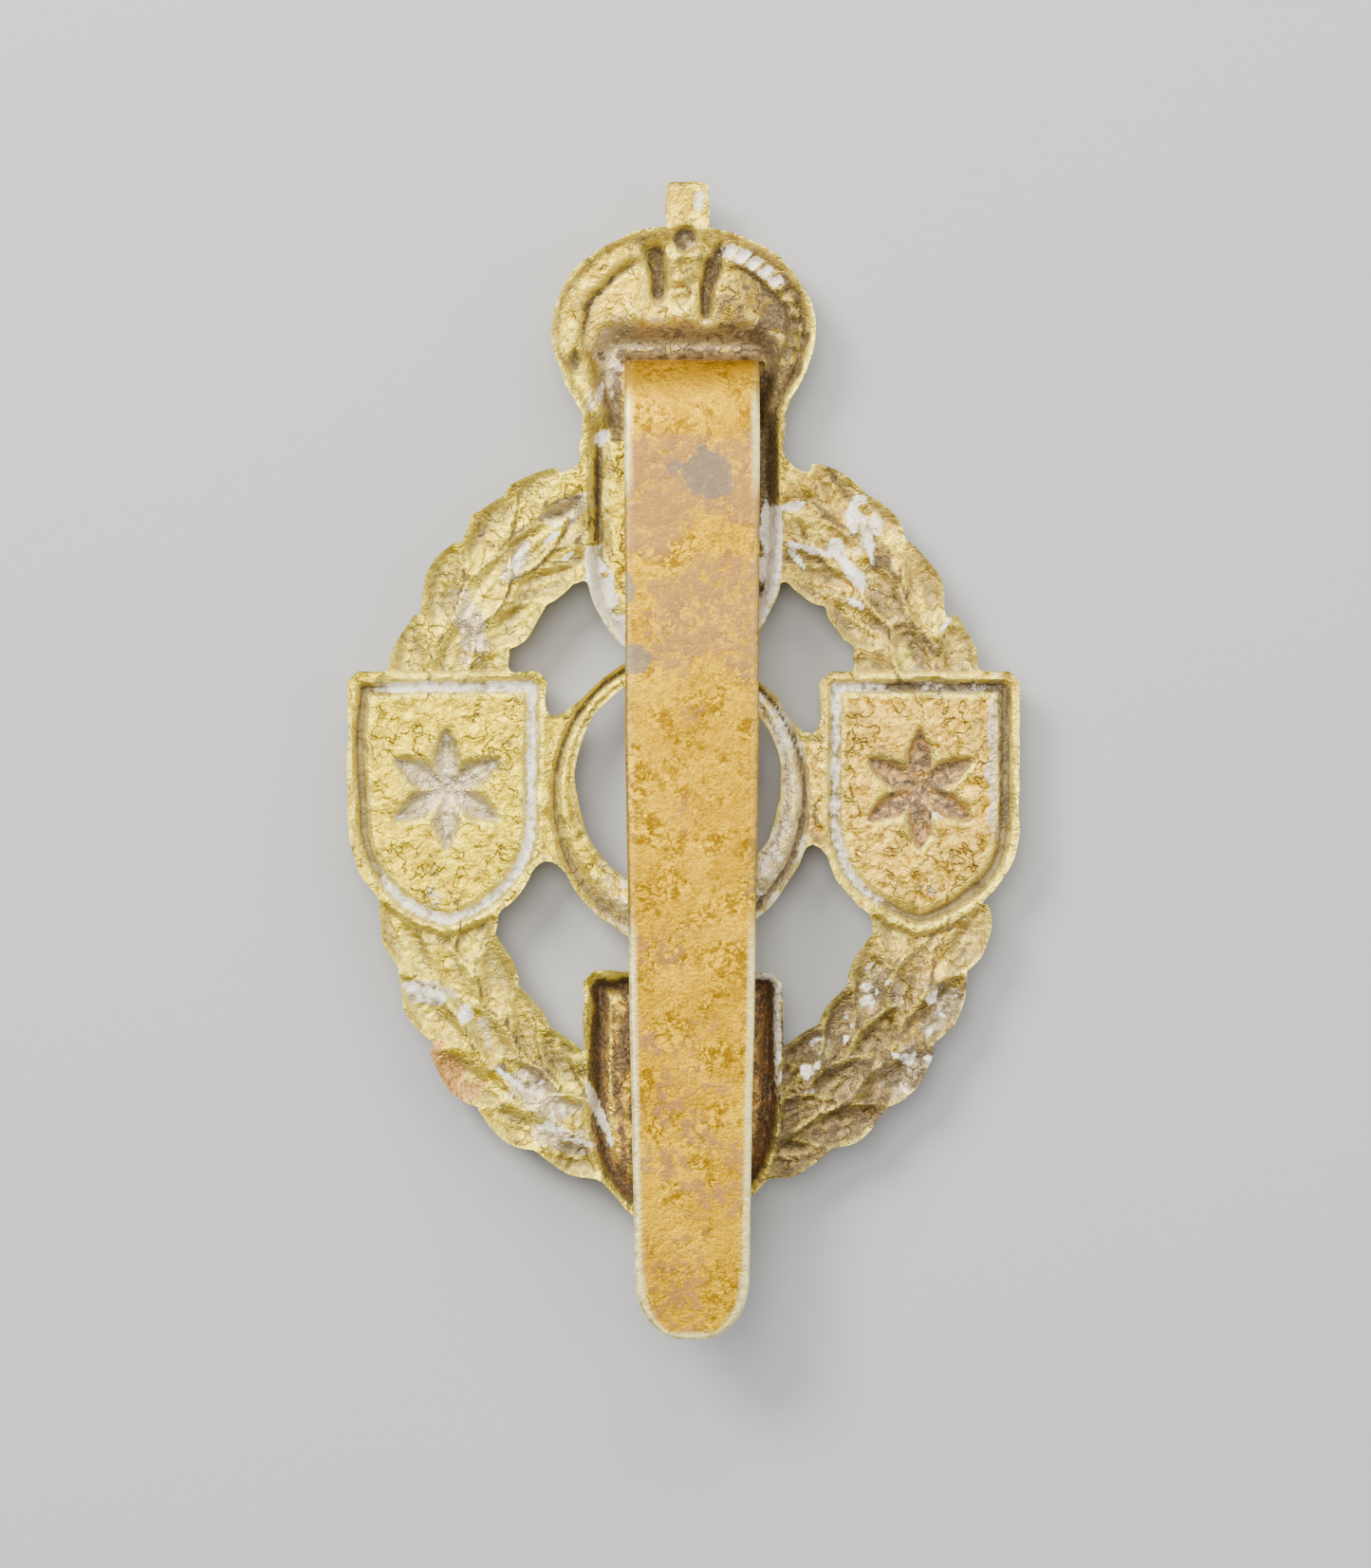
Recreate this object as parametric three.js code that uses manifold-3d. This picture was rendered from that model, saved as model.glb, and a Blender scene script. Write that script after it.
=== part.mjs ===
// Die-struck cap badge with a slider fastening, lying face down.
// Millimetres. +Z points out of the badge's back, +Y to the crown's top and +X to the right of the back.
// The origin is the middle of the footprint, on the surface that the struck front rests on.
import * as THREE from "three";
import { mergeVertices } from "three/addons/utils/BufferGeometryUtils.js";
import Module from "manifold-3d";

const wasm = await Module();
wasm.setup();

// ---- Driving dimensions ----
const RIM = 2.6; // height of the flat back rim above the resting surface
const SHEET = 0.8; // thickness of the struck sheet
const TOP_Y = 27.5; // top of the finial
const TIP_Y = -27.5; // free end of the slider

const SHIELD = { halfWidth: 4.75, height: 12.6, straight: 7.0, chamfer: 0.5, inset: 0.4, bead: 0.6 };
// Each shield's middle, top edge, and how far its field and the groove round it lie under the rim.
const SHIELDS = {
  left: { x: -11.3, top: 4.1, field: 0.2, groove: 0.6 },
  right: { x: 11.3, top: 4.1, field: 0.2, groove: 0.6 },
  upper: { x: 0, top: 16.5, field: 0.5, groove: 0.85 },
  lower: { x: 0, top: -10.2, field: 0.5, groove: 0.85 },
};
const SHIELD_RELIEF = 0.9; // how far a shield's front stands out from the sheet
const ROSETTE = { below: 5.6, petals: 6, reach: 2.6, petalWidth: 1.35, boss: 0.75, depth: 0.5 };

const RING = { x: -0.15, y: -2.0, rx: 6.3, ry: 7.1, holeX: -0.25, holeY: -1.15, holeRx: 4.95, holeRy: 5.3 };
const RING_GROOVE = { depth: 0.75, width: 0.8 };
const TAB = { reach: 7.6, top: 2.0, bottom: -4.6 }; // joins the ring to the side shields
const RING_STEM = { halfWidth: 1.6, top: -8.5, bottom: -11 }; // joins the ring to the lower shield

const WREATH = { y: -2.7, rx: 12.4, ry: 15.6, power: 2.25, halfWidth: 2.25 };
const LEAF = { length: 5.0, width: 2.3, height: 0.6, splay: 25, offset: 0.75, hollow: 0.84, lift: 0.2 };
// Bunches of three leaves along one side, as heights of the bunch's middle on the wreath's centreline.
const BUNCHES = [-18.1, -15.9, -12.7, -9.2, 4.2, 7.9, 10.9, 12.5];

const CROWN = { y: 20.4, rx: 6.28, ry: 5.0, waist: 4.7, waistY: 16.4, baseY: 14.9, rimWidth: 1.0 };
const CROWN_RELIEF = 1.6; // how far the crown's front stands out from the sheet
const CIRCLET = { y: 18.6, height: 3.2, halfWidth: 5.0 };
const PEARLS = { perSide: 7, radius: 0.42, inset: 1.3, sweep: 1.75 };
const ARCH_SLOT = { x: 1.24, top: 24.1, bottom: 21.2, width: 0.7, floor: 0.75 }; // beside the middle arch
const ORB = { x: 0.15, y: 24.9, radius: 0.75, wall: 0.35 };
const FINIAL = { x: 0.2, width: 2.1, thickness: 1.2 };

const SLIDER = { x: 0.42, gap: 2.1, thickness: 0.95, bendRadius: 3.4, bendY: 19.0, foot: 2.3 };
const SLIDER_WIDTHS = { root: 6.5, middle: 6.4, taper: 6.05, end: 5.6 };
const SPLIT_GAP = 0.06; // between the brazed foot and the tongue that flexes
const FOOT_FLOOR = 0.9; // the hollow's floor that the foot is brazed to
const FILLET = { run: 0.75, rise: 1.0 }; // the braze along the foot of the bend

// ---- Materials ----
const brass = (color, roughness) => new THREE.MeshStandardMaterial({ color, roughness, metalness: 1 });
const struckBrass = brass(0xc2a860, 0.45);
const sliderBrass = brass(0xcf9a3c, 0.4);
const brazeMetal = brass(0x8a7448, 0.6);

// ---- Solids ----
function solid(geometry) {
  const plain = new THREE.BufferGeometry();
  plain.setAttribute("position", geometry.getAttribute("position").clone());
  if (geometry.index) plain.setIndex(geometry.index.clone());
  const merged = mergeVertices(plain, 1e-4);
  const corners = merged.index.array;
  const triVerts = [];
  for (let i = 0; i < corners.length; i += 3) {
    const [a, b, c] = corners.slice(i, i + 3);
    if (a !== b && b !== c && c !== a) triVerts.push(a, b, c);
  }
  return new wasm.Manifold(
    new wasm.Mesh({
      numProp: 3,
      vertProperties: merged.attributes.position.array,
      triVerts: new Uint32Array(triVerts),
    }),
  );
}

const union = (solids) => solids.reduce((sum, next) => sum.add(next));

function meshOf(name, shape, material) {
  const data = shape.getMesh();
  const geometry = new THREE.BufferGeometry();
  geometry.setAttribute("position", new THREE.BufferAttribute(data.vertProperties, 3));
  geometry.setIndex(new THREE.BufferAttribute(data.triVerts, 1));
  geometry.computeVertexNormals();
  const mesh = new THREE.Mesh(geometry, material);
  mesh.name = name;
  return mesh;
}

// A flat outline as a prism from z = low to z = high.
function prism(shape, low, high, curveSegments = 10) {
  const options = { depth: high - low, bevelEnabled: false, curveSegments };
  return solid(new THREE.ExtrudeGeometry(shape, options).translate(0, 0, low));
}

// An outline in the YZ plane, drawn as (y, z), as a bar of the slider's width.
function crossbar(shape, curveSegments) {
  const width = SLIDER_WIDTHS.root;
  const bar = prism(shape, SLIDER.x - width / 2, SLIDER.x + width / 2, curveSegments);
  return bar.rotate([90, 0, 90]);
}

// A flat outline as a low mesa: full size at z = base, drawn in by `slope` at z = base - rise.
function mesa(shape, base, rise, slope, curveSegments = 10) {
  const geometry = new THREE.ExtrudeGeometry(shape, {
    depth: rise / 2,
    bevelThickness: rise,
    bevelSize: slope,
    bevelOffset: -slope,
    bevelSegments: 1,
    curveSegments,
  });
  return solid(geometry.translate(0, 0, base)).trimByPlane([0, 0, -1], -base);
}

// ---- Outlines ----
function shieldShape(x, top, inset = 0) {
  const w = SHIELD.halfWidth - inset;
  const high = top - inset;
  const low = top - SHIELD.height + inset;
  const shoulder = top - SHIELD.straight;
  const c = Math.max(SHIELD.chamfer - inset / 2, 0.1);
  const s = new THREE.Shape();
  s.moveTo(x - w + c, high);
  s.lineTo(x - w, high - c);
  s.lineTo(x - w, shoulder);
  s.quadraticCurveTo(x - 0.96 * w, low + 1.3, x, low);
  s.quadraticCurveTo(x + 0.96 * w, low + 1.3, x + w, shoulder);
  s.lineTo(x + w, high - c);
  s.lineTo(x + w - c, high);
  return s;
}

function ellipse(x, y, rx, ry) {
  return new THREE.Shape().absellipse(x, y, rx, ry, 0, 2 * Math.PI);
}

function crownShape(inset = 0) {
  const { y, rx, ry, waist, waistY, baseY } = CROWN;
  const w = rx - inset;
  const s = new THREE.Shape();
  s.absellipse(0, y, w, ry - inset, 0, Math.PI);
  s.bezierCurveTo(-w, y - 1.6, -waist + inset - 0.5, waistY + 1.2, -waist + inset, waistY);
  s.lineTo(-waist + inset, baseY);
  s.lineTo(waist - inset, baseY);
  s.lineTo(waist - inset, waistY);
  s.bezierCurveTo(waist - inset + 0.5, waistY + 1.2, w, y - 1.6, w, y);
  return s;
}

function rectangle(x0, y0, x1, y1) {
  return new THREE.Shape([
    new THREE.Vector2(x0, y0),
    new THREE.Vector2(x1, y0),
    new THREE.Vector2(x1, y1),
    new THREE.Vector2(x0, y1),
  ]);
}

// ---- Laurel wreath ----
// A point of the wreath's centreline at angle t from +X, counter-clockwise.
function centreline(t) {
  const e = 2 / WREATH.power;
  const c = Math.cos(t);
  const s = Math.sin(t);
  return new THREE.Vector2(
    Math.sign(c) * WREATH.rx * Math.abs(c) ** e,
    WREATH.y + Math.sign(s) * WREATH.ry * Math.abs(s) ** e,
  );
}

function offsetLine(distance, steps = 72) {
  return Array.from({ length: steps }, (_, i) => {
    const t = ((i + 0.5) / steps) * 2 * Math.PI;
    const ahead = centreline(t + 0.01).sub(centreline(t - 0.01)).normalize();
    return centreline(t).add(new THREE.Vector2(ahead.y, -ahead.x).multiplyScalar(distance));
  });
}

function wreathShape() {
  const band = new THREE.Shape(offsetLine(WREATH.halfWidth));
  band.holes.push(new THREE.Path(offsetLine(-WREATH.halfWidth)));
  return band;
}

// Half-width of a leaf at a share of its length from the base.
const leafHalfWidth = (share, width) => (width / 2) * Math.sin(Math.PI * share ** 0.85) ** 0.85;

const LEAF_STEPS = 4;
const leafShares = Array.from({ length: LEAF_STEPS + 1 }, (_, i) => i / LEAF_STEPS);

// A pointed body lying along +Y from the origin, its long axis at z = 0.
function leafBody(size, height) {
  const profile = leafShares.map((share) => {
    const r = share === 0 || share === 1 ? 0 : leafHalfWidth(share, size.width);
    return new THREE.Vector2(r, share * size.length);
  });
  const geometry = new THREE.LatheGeometry(profile, 4);
  return solid(geometry.scale(1, 1, height / (size.width / 2)));
}

function leafOutline(size) {
  const shares = leafShares.slice(1, -1);
  const right = shares.map((t) => new THREE.Vector2(leafHalfWidth(t, size.width), t * size.length));
  const left = right.map((p) => new THREE.Vector2(-p.x, p.y)).reverse();
  return new THREE.Shape([new THREE.Vector2(0, 0), ...right, new THREE.Vector2(0, size.length), ...left]);
}

// Where each leaf lies: its base point and its heading, in degrees clockwise from +Y.
function leafPlaces() {
  const places = [];
  for (const height of BUNCHES) {
    const share = Math.min(1, Math.abs(height - WREATH.y) / WREATH.ry);
    const t = Math.sign(height - WREATH.y) * Math.asin(share ** (WREATH.power / 2));
    const ahead = centreline(t + 0.01).sub(centreline(t - 0.01)).normalize();
    const heading = THREE.MathUtils.radToDeg(Math.atan2(ahead.x, ahead.y));
    for (const side of [-1, 1]) {
      for (const turn of [-1, 0, 1]) {
        const back = LEAF.length * (turn === 0 ? 0.5 : 0.62);
        const out = LEAF.offset * turn;
        const middle = centreline(t);
        const x = middle.x - ahead.x * back + ahead.y * out;
        const y = middle.y - ahead.y * back - ahead.x * out;
        places.push({ x: side * x, y, heading: side * (heading + turn * LEAF.splay), middle: turn === 0 });
      }
    }
  }
  return places;
}

const placed = (shape, place, z) => shape.rotate([0, 0, -place.heading]).translate([place.x, place.y, z]);

// A leaf of the front: rounded below z = low, its plain outline from there up to the rim.
function leafFront(low) {
  return prism(leafOutline(LEAF), low, RIM).add(leafBody(LEAF, LEAF.height).translate([0, 0, low]));
}

function wreath() {
  const sideLeaf = leafFront(RIM - SHEET);
  const middleLeaf = leafFront(RIM - SHEET - LEAF.lift);
  const hollowSize = { length: LEAF.length * LEAF.hollow, width: LEAF.width * LEAF.hollow };
  const hollow = leafBody(hollowSize, LEAF.height * LEAF.hollow);
  const places = leafPlaces();
  return {
    body: union([
      prism(wreathShape(), RIM - SHEET, RIM),
      ...places.map((p) => placed(p.middle ? middleLeaf : sideLeaf, p, 0)),
    ]),
    hollows: places.map((p) => placed(hollow, p, RIM)),
  };
}

// ---- Shields ----
function rosette(x, y, z, grow, height) {
  const petal = leafBody({ length: ROSETTE.reach, width: ROSETTE.petalWidth + grow }, height);
  const ball = solid(new THREE.SphereGeometry(ROSETTE.boss + grow / 2, 6, 4));
  const turn = 360 / ROSETTE.petals;
  const petals = Array.from({ length: ROSETTE.petals }, (_, i) => petal.rotate([0, 0, i * turn]));
  return union([ball.scale([1, 1, height / ROSETTE.boss]), ...petals]).translate([x, y, z]);
}

function shield({ x, top, field, groove }) {
  const { inset, bead } = SHIELD;
  const frontFace = RIM - SHEET - SHIELD_RELIEF;
  const border = shieldShape(x, top, inset);
  border.holes.push(shieldShape(x, top, inset + bead));
  const borderGroove = prism(border, RIM - groove, RIM + 1, 5);
  const frontBead = prism(border, frontFace - 0.3, frontFace + 0.1, 5);
  const fieldHollow = prism(shieldShape(x, top, inset + bead), RIM - field, RIM + 1, 5);
  const charge = top - ROSETTE.below;
  return {
    body: union([
      mesa(shieldShape(x, top), RIM, SHEET + SHIELD_RELIEF, 0.35, 5),
      frontBead,
      rosette(x, charge, frontFace, 0.2, 0.35),
    ]),
    hollows: [borderGroove, fieldHollow, rosette(x, charge, RIM - field, 0, ROSETTE.depth)],
  };
}

// ---- Centre ring ----
function ring() {
  const { x, y, rx, ry, holeX, holeY, holeRx, holeRy } = RING;
  const band = ellipse(x, y, rx, ry);
  band.holes.push(ellipse(holeX, holeY, holeRx, holeRy));
  const w = RING_GROOVE.width / 2;
  const middle = { x: (x + holeX) / 2, y: (y + holeY) / 2, rx: (rx + holeRx) / 2, ry: (ry + holeRy) / 2 };
  const midway = (grow) => ellipse(middle.x, middle.y, middle.rx + grow, middle.ry + grow);
  const groove = midway(w);
  groove.holes.push(midway(-w));
  const tab = prism(rectangle(-TAB.reach, TAB.bottom, TAB.reach, TAB.top), RIM - SHEET, RIM);
  const { halfWidth, top, bottom } = RING_STEM;
  const stem = prism(rectangle(-halfWidth, bottom, halfWidth, top), RIM - SHEET, RIM);
  const hole = prism(ellipse(holeX, holeY, holeRx, holeRy), -1, RIM + 1, 18);
  return {
    body: union([prism(band, RIM - SHEET - 0.7, RIM, 18), tab, stem]).subtract(hole),
    hollows: [prism(groove, RIM - RING_GROOVE.depth, RIM + 1, 18)],
  };
}

// ---- Crown ----
function crown() {
  const face = RIM - SHEET - CROWN_RELIEF;
  const pearl = solid(new THREE.IcosahedronGeometry(PEARLS.radius, 0));
  const { perSide, radius, inset, sweep } = PEARLS;
  const pearls = [];
  for (let i = -perSide; i <= perSide; i += 1) {
    const t = Math.PI / 2 + (i / perSide) * sweep;
    const x = (CROWN.rx - inset) * Math.cos(t);
    const yy = CROWN.y + (CROWN.ry - inset) * Math.sin(t);
    pearls.push(pearl.translate([x, yy, face + radius * 0.6]));
  }
  const { y, height, halfWidth } = CIRCLET;
  const circlet = rectangle(-halfWidth, y - height / 2, halfWidth, y + height / 2);
  const circletHollow = rectangle(-halfWidth + 0.6, y - height / 2 - 0.6, halfWidth - 0.6, y + height / 2);
  const slot = (x) =>
    rectangle(x - ARCH_SLOT.width / 2, ARCH_SLOT.bottom, x + ARCH_SLOT.width / 2, ARCH_SLOT.top);
  const orb = (radius) => solid(new THREE.SphereGeometry(radius, 8, 6)).rotate([90, 0, 0]);
  const finial = rectangle(FINIAL.x - FINIAL.width / 2, CROWN.y + 4, FINIAL.x + FINIAL.width / 2, TOP_Y);
  return {
    body: union([
      mesa(crownShape(), RIM, SHEET + CROWN_RELIEF, 1.1),
      prism(circlet, face - 0.2, RIM),
      prism(finial, RIM - FINIAL.thickness, RIM),
      orb(ORB.radius + ORB.wall).translate([ORB.x, ORB.y, ORB.radius + ORB.wall]),
      ...pearls,
    ]),
    hollows: [
      orb(ORB.radius).translate([ORB.x, ORB.y, RIM]),
      ...[-1, 1].map((side) => prism(slot(side * ARCH_SLOT.x), ARCH_SLOT.floor, RIM + 1)),
      mesa(crownShape(CROWN.rimWidth), RIM, 1.5, 0.5).add(
        prism(crownShape(CROWN.rimWidth), RIM - 0.01, RIM + 1),
      ),
      prism(circletHollow, FOOT_FLOOR, RIM + 1),
    ],
  };
}

// ---- Slider ----
// The strip edge-on in the YZ plane: tongue, quarter bend, leg, and foot turned back.
const tongueLow = RIM + SLIDER.gap;
const tongueHigh = tongueLow + SLIDER.thickness;
const splitY = SLIDER.bendY - SLIDER.bendRadius;

function sliderFoot() {
  const { bendY, bendRadius, thickness, foot } = SLIDER;
  const footTop = FOOT_FLOOR + thickness;
  const heel = 1.0; // outer radius of the second bend, where the leg turns into the foot
  const s = new THREE.Shape();
  s.moveTo(splitY, tongueHigh);
  s.absarc(splitY, tongueHigh - bendRadius, bendRadius, Math.PI / 2, 0, true);
  s.lineTo(bendY, FOOT_FLOOR + heel);
  s.absarc(bendY - heel, FOOT_FLOOR + heel, heel, 0, -Math.PI / 2, true);
  s.lineTo(bendY - foot, FOOT_FLOOR);
  s.lineTo(bendY - foot, footTop);
  s.lineTo(bendY - heel, footTop);
  s.absarc(bendY - heel, FOOT_FLOOR + heel, heel - thickness, -Math.PI / 2, 0, false);
  s.lineTo(bendY - thickness, tongueHigh - bendRadius);
  s.absarc(splitY, tongueHigh - bendRadius, bendRadius - thickness, 0, Math.PI / 2, false);
  return crossbar(s, 8);
}

function sliderTongue() {
  const { x } = SLIDER;
  const { root, middle, taper, end } = SLIDER_WIDTHS;
  const start = splitY - SPLIT_GAP;
  const round = end / 2;
  const s = new THREE.Shape();
  s.moveTo(x - root / 2, start);
  s.lineTo(x - middle / 2, 0);
  s.lineTo(x - taper / 2, -12.7);
  s.lineTo(x - end / 2, TIP_Y + round + 1.2);
  s.quadraticCurveTo(x - end / 2, TIP_Y, x, TIP_Y);
  s.quadraticCurveTo(x + end / 2, TIP_Y, x + end / 2, TIP_Y + round + 1.2);
  s.lineTo(x + taper / 2, -12.7);
  s.lineTo(x + middle / 2, 0);
  s.lineTo(x + root / 2, start);
  return prism(s, tongueLow, tongueHigh, 8);
}

function brazeFillet() {
  const { bendY } = SLIDER;
  const s = new THREE.Shape();
  s.moveTo(bendY, FOOT_FLOOR);
  s.lineTo(bendY + FILLET.run, FOOT_FLOOR);
  s.quadraticCurveTo(bendY + 0.1, FOOT_FLOOR + 0.15, bendY, FOOT_FLOOR + FILLET.rise);
  return crossbar(s, 5);
}

// ---- Assembly ----
function struckBadge() {
  const leaves = wreath();
  const features = [...Object.values(SHIELDS).map(shield), ring(), crown()];
  const pressed = union([leaves.body.subtract(union(leaves.hollows)), ...features.map((f) => f.body)]);
  return pressed.subtract(union(features.flatMap((f) => f.hollows)));
}

const badge = new THREE.Group();
badge.add(meshOf("struck_badge", struckBadge(), struckBrass));
badge.add(meshOf("slider_foot", sliderFoot(), sliderBrass));
badge.add(meshOf("slider_tongue", sliderTongue(), sliderBrass));
badge.add(meshOf("braze_fillet", brazeFillet(), brazeMetal));

export default badge;
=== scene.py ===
import math

import bpy
import numpy as np
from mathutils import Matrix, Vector


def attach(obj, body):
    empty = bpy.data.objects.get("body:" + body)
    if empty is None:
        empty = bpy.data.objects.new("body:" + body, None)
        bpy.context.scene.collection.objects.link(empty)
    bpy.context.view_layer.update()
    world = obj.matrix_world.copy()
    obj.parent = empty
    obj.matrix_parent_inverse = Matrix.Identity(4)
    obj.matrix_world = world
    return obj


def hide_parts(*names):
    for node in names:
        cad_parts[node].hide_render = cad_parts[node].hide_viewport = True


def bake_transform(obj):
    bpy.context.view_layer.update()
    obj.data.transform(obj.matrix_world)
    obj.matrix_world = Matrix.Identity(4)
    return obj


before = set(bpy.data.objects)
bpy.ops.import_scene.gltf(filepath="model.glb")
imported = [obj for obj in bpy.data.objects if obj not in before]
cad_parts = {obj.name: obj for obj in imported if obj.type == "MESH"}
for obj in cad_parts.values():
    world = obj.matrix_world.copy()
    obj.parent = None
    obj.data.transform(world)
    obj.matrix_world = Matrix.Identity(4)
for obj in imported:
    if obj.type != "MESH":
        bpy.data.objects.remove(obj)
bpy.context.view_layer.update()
scene = bpy.context.scene

# -------- dimensions, in millimetres
MM = 0.001
RIM = 2.6
SHEET = 0.8
SHIELD_HALF, SHIELD_TALL, SHIELD_STRAIGHT, SHIELD_CHAMFER = 4.75, 12.6, 7.0, 0.5
SHIELDS = {  # middle in X, top edge in Y, depth of the field, depth of the border groove
    "left": (-11.3, 4.1, 0.14, 0.5),
    "right": (11.3, 4.1, 0.14, 0.5),
    "upper": (0.0, 16.5, 0.6, 0.95),
    "lower": (0.0, -10.2, 0.6, 1.25),
}
ROSETTE_BELOW = 5.6
RING_OUT = (-0.15, -2.0, 6.3, 7.1)
RING_IN = (-0.25, -1.15, 4.95, 5.3)
RING_TABS = ((-7.6, -4.6, -3.0, 2.0), (3.0, -3.7, 7.6, 0.9))
RING_STEM = (-1.6, -11.0, 1.6, -8.5)
WREATH_Y, WREATH_RX, WREATH_RY, WREATH_POWER = -2.7, 12.4, 15.6, 2.25
WREATH_OUTER, WREATH_INNER = 1.85, 2.3
STREAK_TURN, STREAK_Y = 3.75, -1.0
LEAF_LONG, LEAF_WIDE = 4.6, 2.0
LEAF_SPLAY = {-1: -21.0, 0: 0.0, 1: 23.0}
LEAF_OFFSET = {-1: -0.7, 0: -0.1, 1: 0.72}
BUNCHES = (11.5, 10.4, 8.2, 5.0, -7.6, -10.8, -13.7, -15.8, -17.3, -18.2)
CROWN_Y, CROWN_RX, CROWN_RY = 20.4, 6.28, 5.0
WAIST, WAIST_Y, BASE_Y = 4.7, 16.4, 14.9
PEARL_PITCH = 0.78
ORB_X, ORB_Y = 0.1, 24.82
FINIAL_X, FINIAL_HALF, FINIAL_CORNER, FINIAL_FOOT = 0.2, 1.05, 0.2, 24.2
TOP_Y, WIDEST = 27.5, 16.05
THINNEST, WALL_ROWS = 0.45, 3

SLIDER_X, THICK = 0.42, 0.95
TONGUE_Z = RIM + 2.1 + THICK / 2
BEND_Y, BEND_R, TIP_Y, FOOT_FLOOR = 19.0, 3.4, -27.5, 0.9

# -------- the fine grid the relief is drawn on
FINE = 0.0625
xs = np.arange(-16.5, 16.5 + FINE / 2, FINE)
ys = np.arange(-23.25, 28.0 + FINE / 2, FINE)
X, Y = np.meshgrid(xs, ys, indexing="ij")
FAR = 3.0


def blur(field, radius, along=None):
    """Gaussian blur by a standard deviation in millimetres; `along` is the one along Y if it differs."""
    along = radius if along is None else along
    fx = np.fft.fftfreq(field.shape[0], FINE)[:, None]
    fy = np.fft.rfftfreq(field.shape[1], FINE)[None, :]
    kernel = np.exp(-2 * math.pi**2 * ((radius * fx) ** 2 + (along * fy) ** 2))
    return np.fft.irfft2(np.fft.rfft2(field) * kernel, field.shape)


def cloud(seed, size):
    """A smooth random field of mean 0 and deviation 1, with features about `size` across."""
    field = blur(np.random.default_rng(seed).standard_normal(X.shape), size / 2)
    return (field - field.mean()) / field.std()


def step(low, high, value):
    t = np.clip((value - low) / (high - low), 0, 1)
    return t * t * (3 - 2 * t)


def bell(value, width):
    return np.exp(-((value / width) ** 2))


def window(x0, x1, y0, y1, margin=FAR):
    i = np.searchsorted(xs, (x0 - margin, x1 + margin))
    j = np.searchsorted(ys, (y0 - margin, y1 + margin))
    return slice(*i), slice(*j)


def distance_to(points):
    """Distance to a closed outline, negative inside it. Beyond FAR it only says FAR."""
    pts = np.asarray(points, float)
    nxt = np.roll(pts, -1, axis=0)
    w = window(pts[:, 0].min(), pts[:, 0].max(), pts[:, 1].min(), pts[:, 1].max())
    x, y = X[w], Y[w]
    best = np.full(x.shape, FAR**2)
    inside = np.zeros(x.shape, bool)
    for (ax, ay), (bx, by) in zip(pts, nxt):
        ex, ey = bx - ax, by - ay
        length = ex * ex + ey * ey
        if length < 1e-12:
            continue
        t = np.clip(((x - ax) * ex + (y - ay) * ey) / length, 0, 1)
        best = np.minimum(best, (x - ax - t * ex) ** 2 + (y - ay - t * ey) ** 2)
        if ay != by:
            inside ^= ((ay > y) != (by > y)) & (x < ex * (y - ay) / ey + ax)
    out = np.full(X.shape, FAR)
    out[w] = np.sqrt(best) * np.where(inside, -1, 1)
    return out


# -------- outlines
def bezier(*points, steps=10):
    p = np.array(points, float)
    t = np.linspace(0, 1, steps + 1)[1:, None]
    if len(p) == 3:
        return (1 - t) ** 2 * p[0] + 2 * t * (1 - t) * p[1] + t * t * p[2]
    return (1 - t) ** 3 * p[0] + 3 * t * (1 - t) ** 2 * p[1] + 3 * t * t * (1 - t) * p[2] + t**3 * p[3]


def shield_outline(x, top, tall=0.0):
    w, c = SHIELD_HALF, SHIELD_CHAMFER
    high, low, shoulder = top + tall, top - SHIELD_TALL, top - SHIELD_STRAIGHT
    left = [(x - w + c, high), (x - w, high - c), (x - w, shoulder)]
    curve = bezier((x - w, shoulder), (x - 0.96 * w, low + 1.3), (x, low))
    back = bezier((x, low), (x + 0.96 * w, low + 1.3), (x + w, shoulder))
    return np.vstack([left, curve, back, [(x + w, high - c), (x + w - c, high)]])


def ellipse_outline(x, y, rx, ry, steps=96):
    t = np.arange(steps) / steps * 2 * math.pi
    return np.column_stack([x + rx * np.cos(t), y + ry * np.sin(t)])


def crown_outline(base=BASE_Y):
    t = np.linspace(0, math.pi, 41)
    dome = np.column_stack([CROWN_RX * np.cos(t), CROWN_Y + CROWN_RY * np.sin(t)])
    w, a = CROWN_RX, WAIST
    left = bezier((-w, CROWN_Y), (-w, CROWN_Y - 1.6), (-a - 0.5, WAIST_Y + 1.2), (-a, WAIST_Y))
    right = (left * (-1, 1))[::-1]
    return np.vstack([dome, left, [(-a, base), (a, base)], right])


def box_outline(x0, y0, x1, y1):
    return [(x0, y0), (x1, y0), (x1, y1), (x0, y1)]


def join(a, b, fillet):
    """Two outlines as one, with their inner corners rounded."""
    share = np.clip(0.5 + 0.5 * (b - a) / fillet, 0, 1)
    return b * (1 - share) + a * share - fillet * share * (1 - share)


def centreline(t):
    e = 2 / WREATH_POWER
    c, s = np.cos(t), np.sin(t)
    x = np.sign(c) * WREATH_RX * np.abs(c) ** e
    return np.stack([x, WREATH_Y + np.sign(s) * WREATH_RY * np.abs(s) ** e], -1)


def sample(field, p):
    """Bilinear value of a fine-grid field at points given in millimetres."""
    u = np.clip((p[:, 0] - xs[0]) / FINE, 0, len(xs) - 1.001)
    v = np.clip((p[:, 1] - ys[0]) / FINE, 0, len(ys) - 1.001)
    i, j = u.astype(int), v.astype(int)
    u, v = u - i, v - j
    top = field[i, j] * (1 - u) * (1 - v) + field[i + 1, j] * u * (1 - v)
    return top + field[i, j + 1] * (1 - u) * v + field[i + 1, j + 1] * u * v


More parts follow.
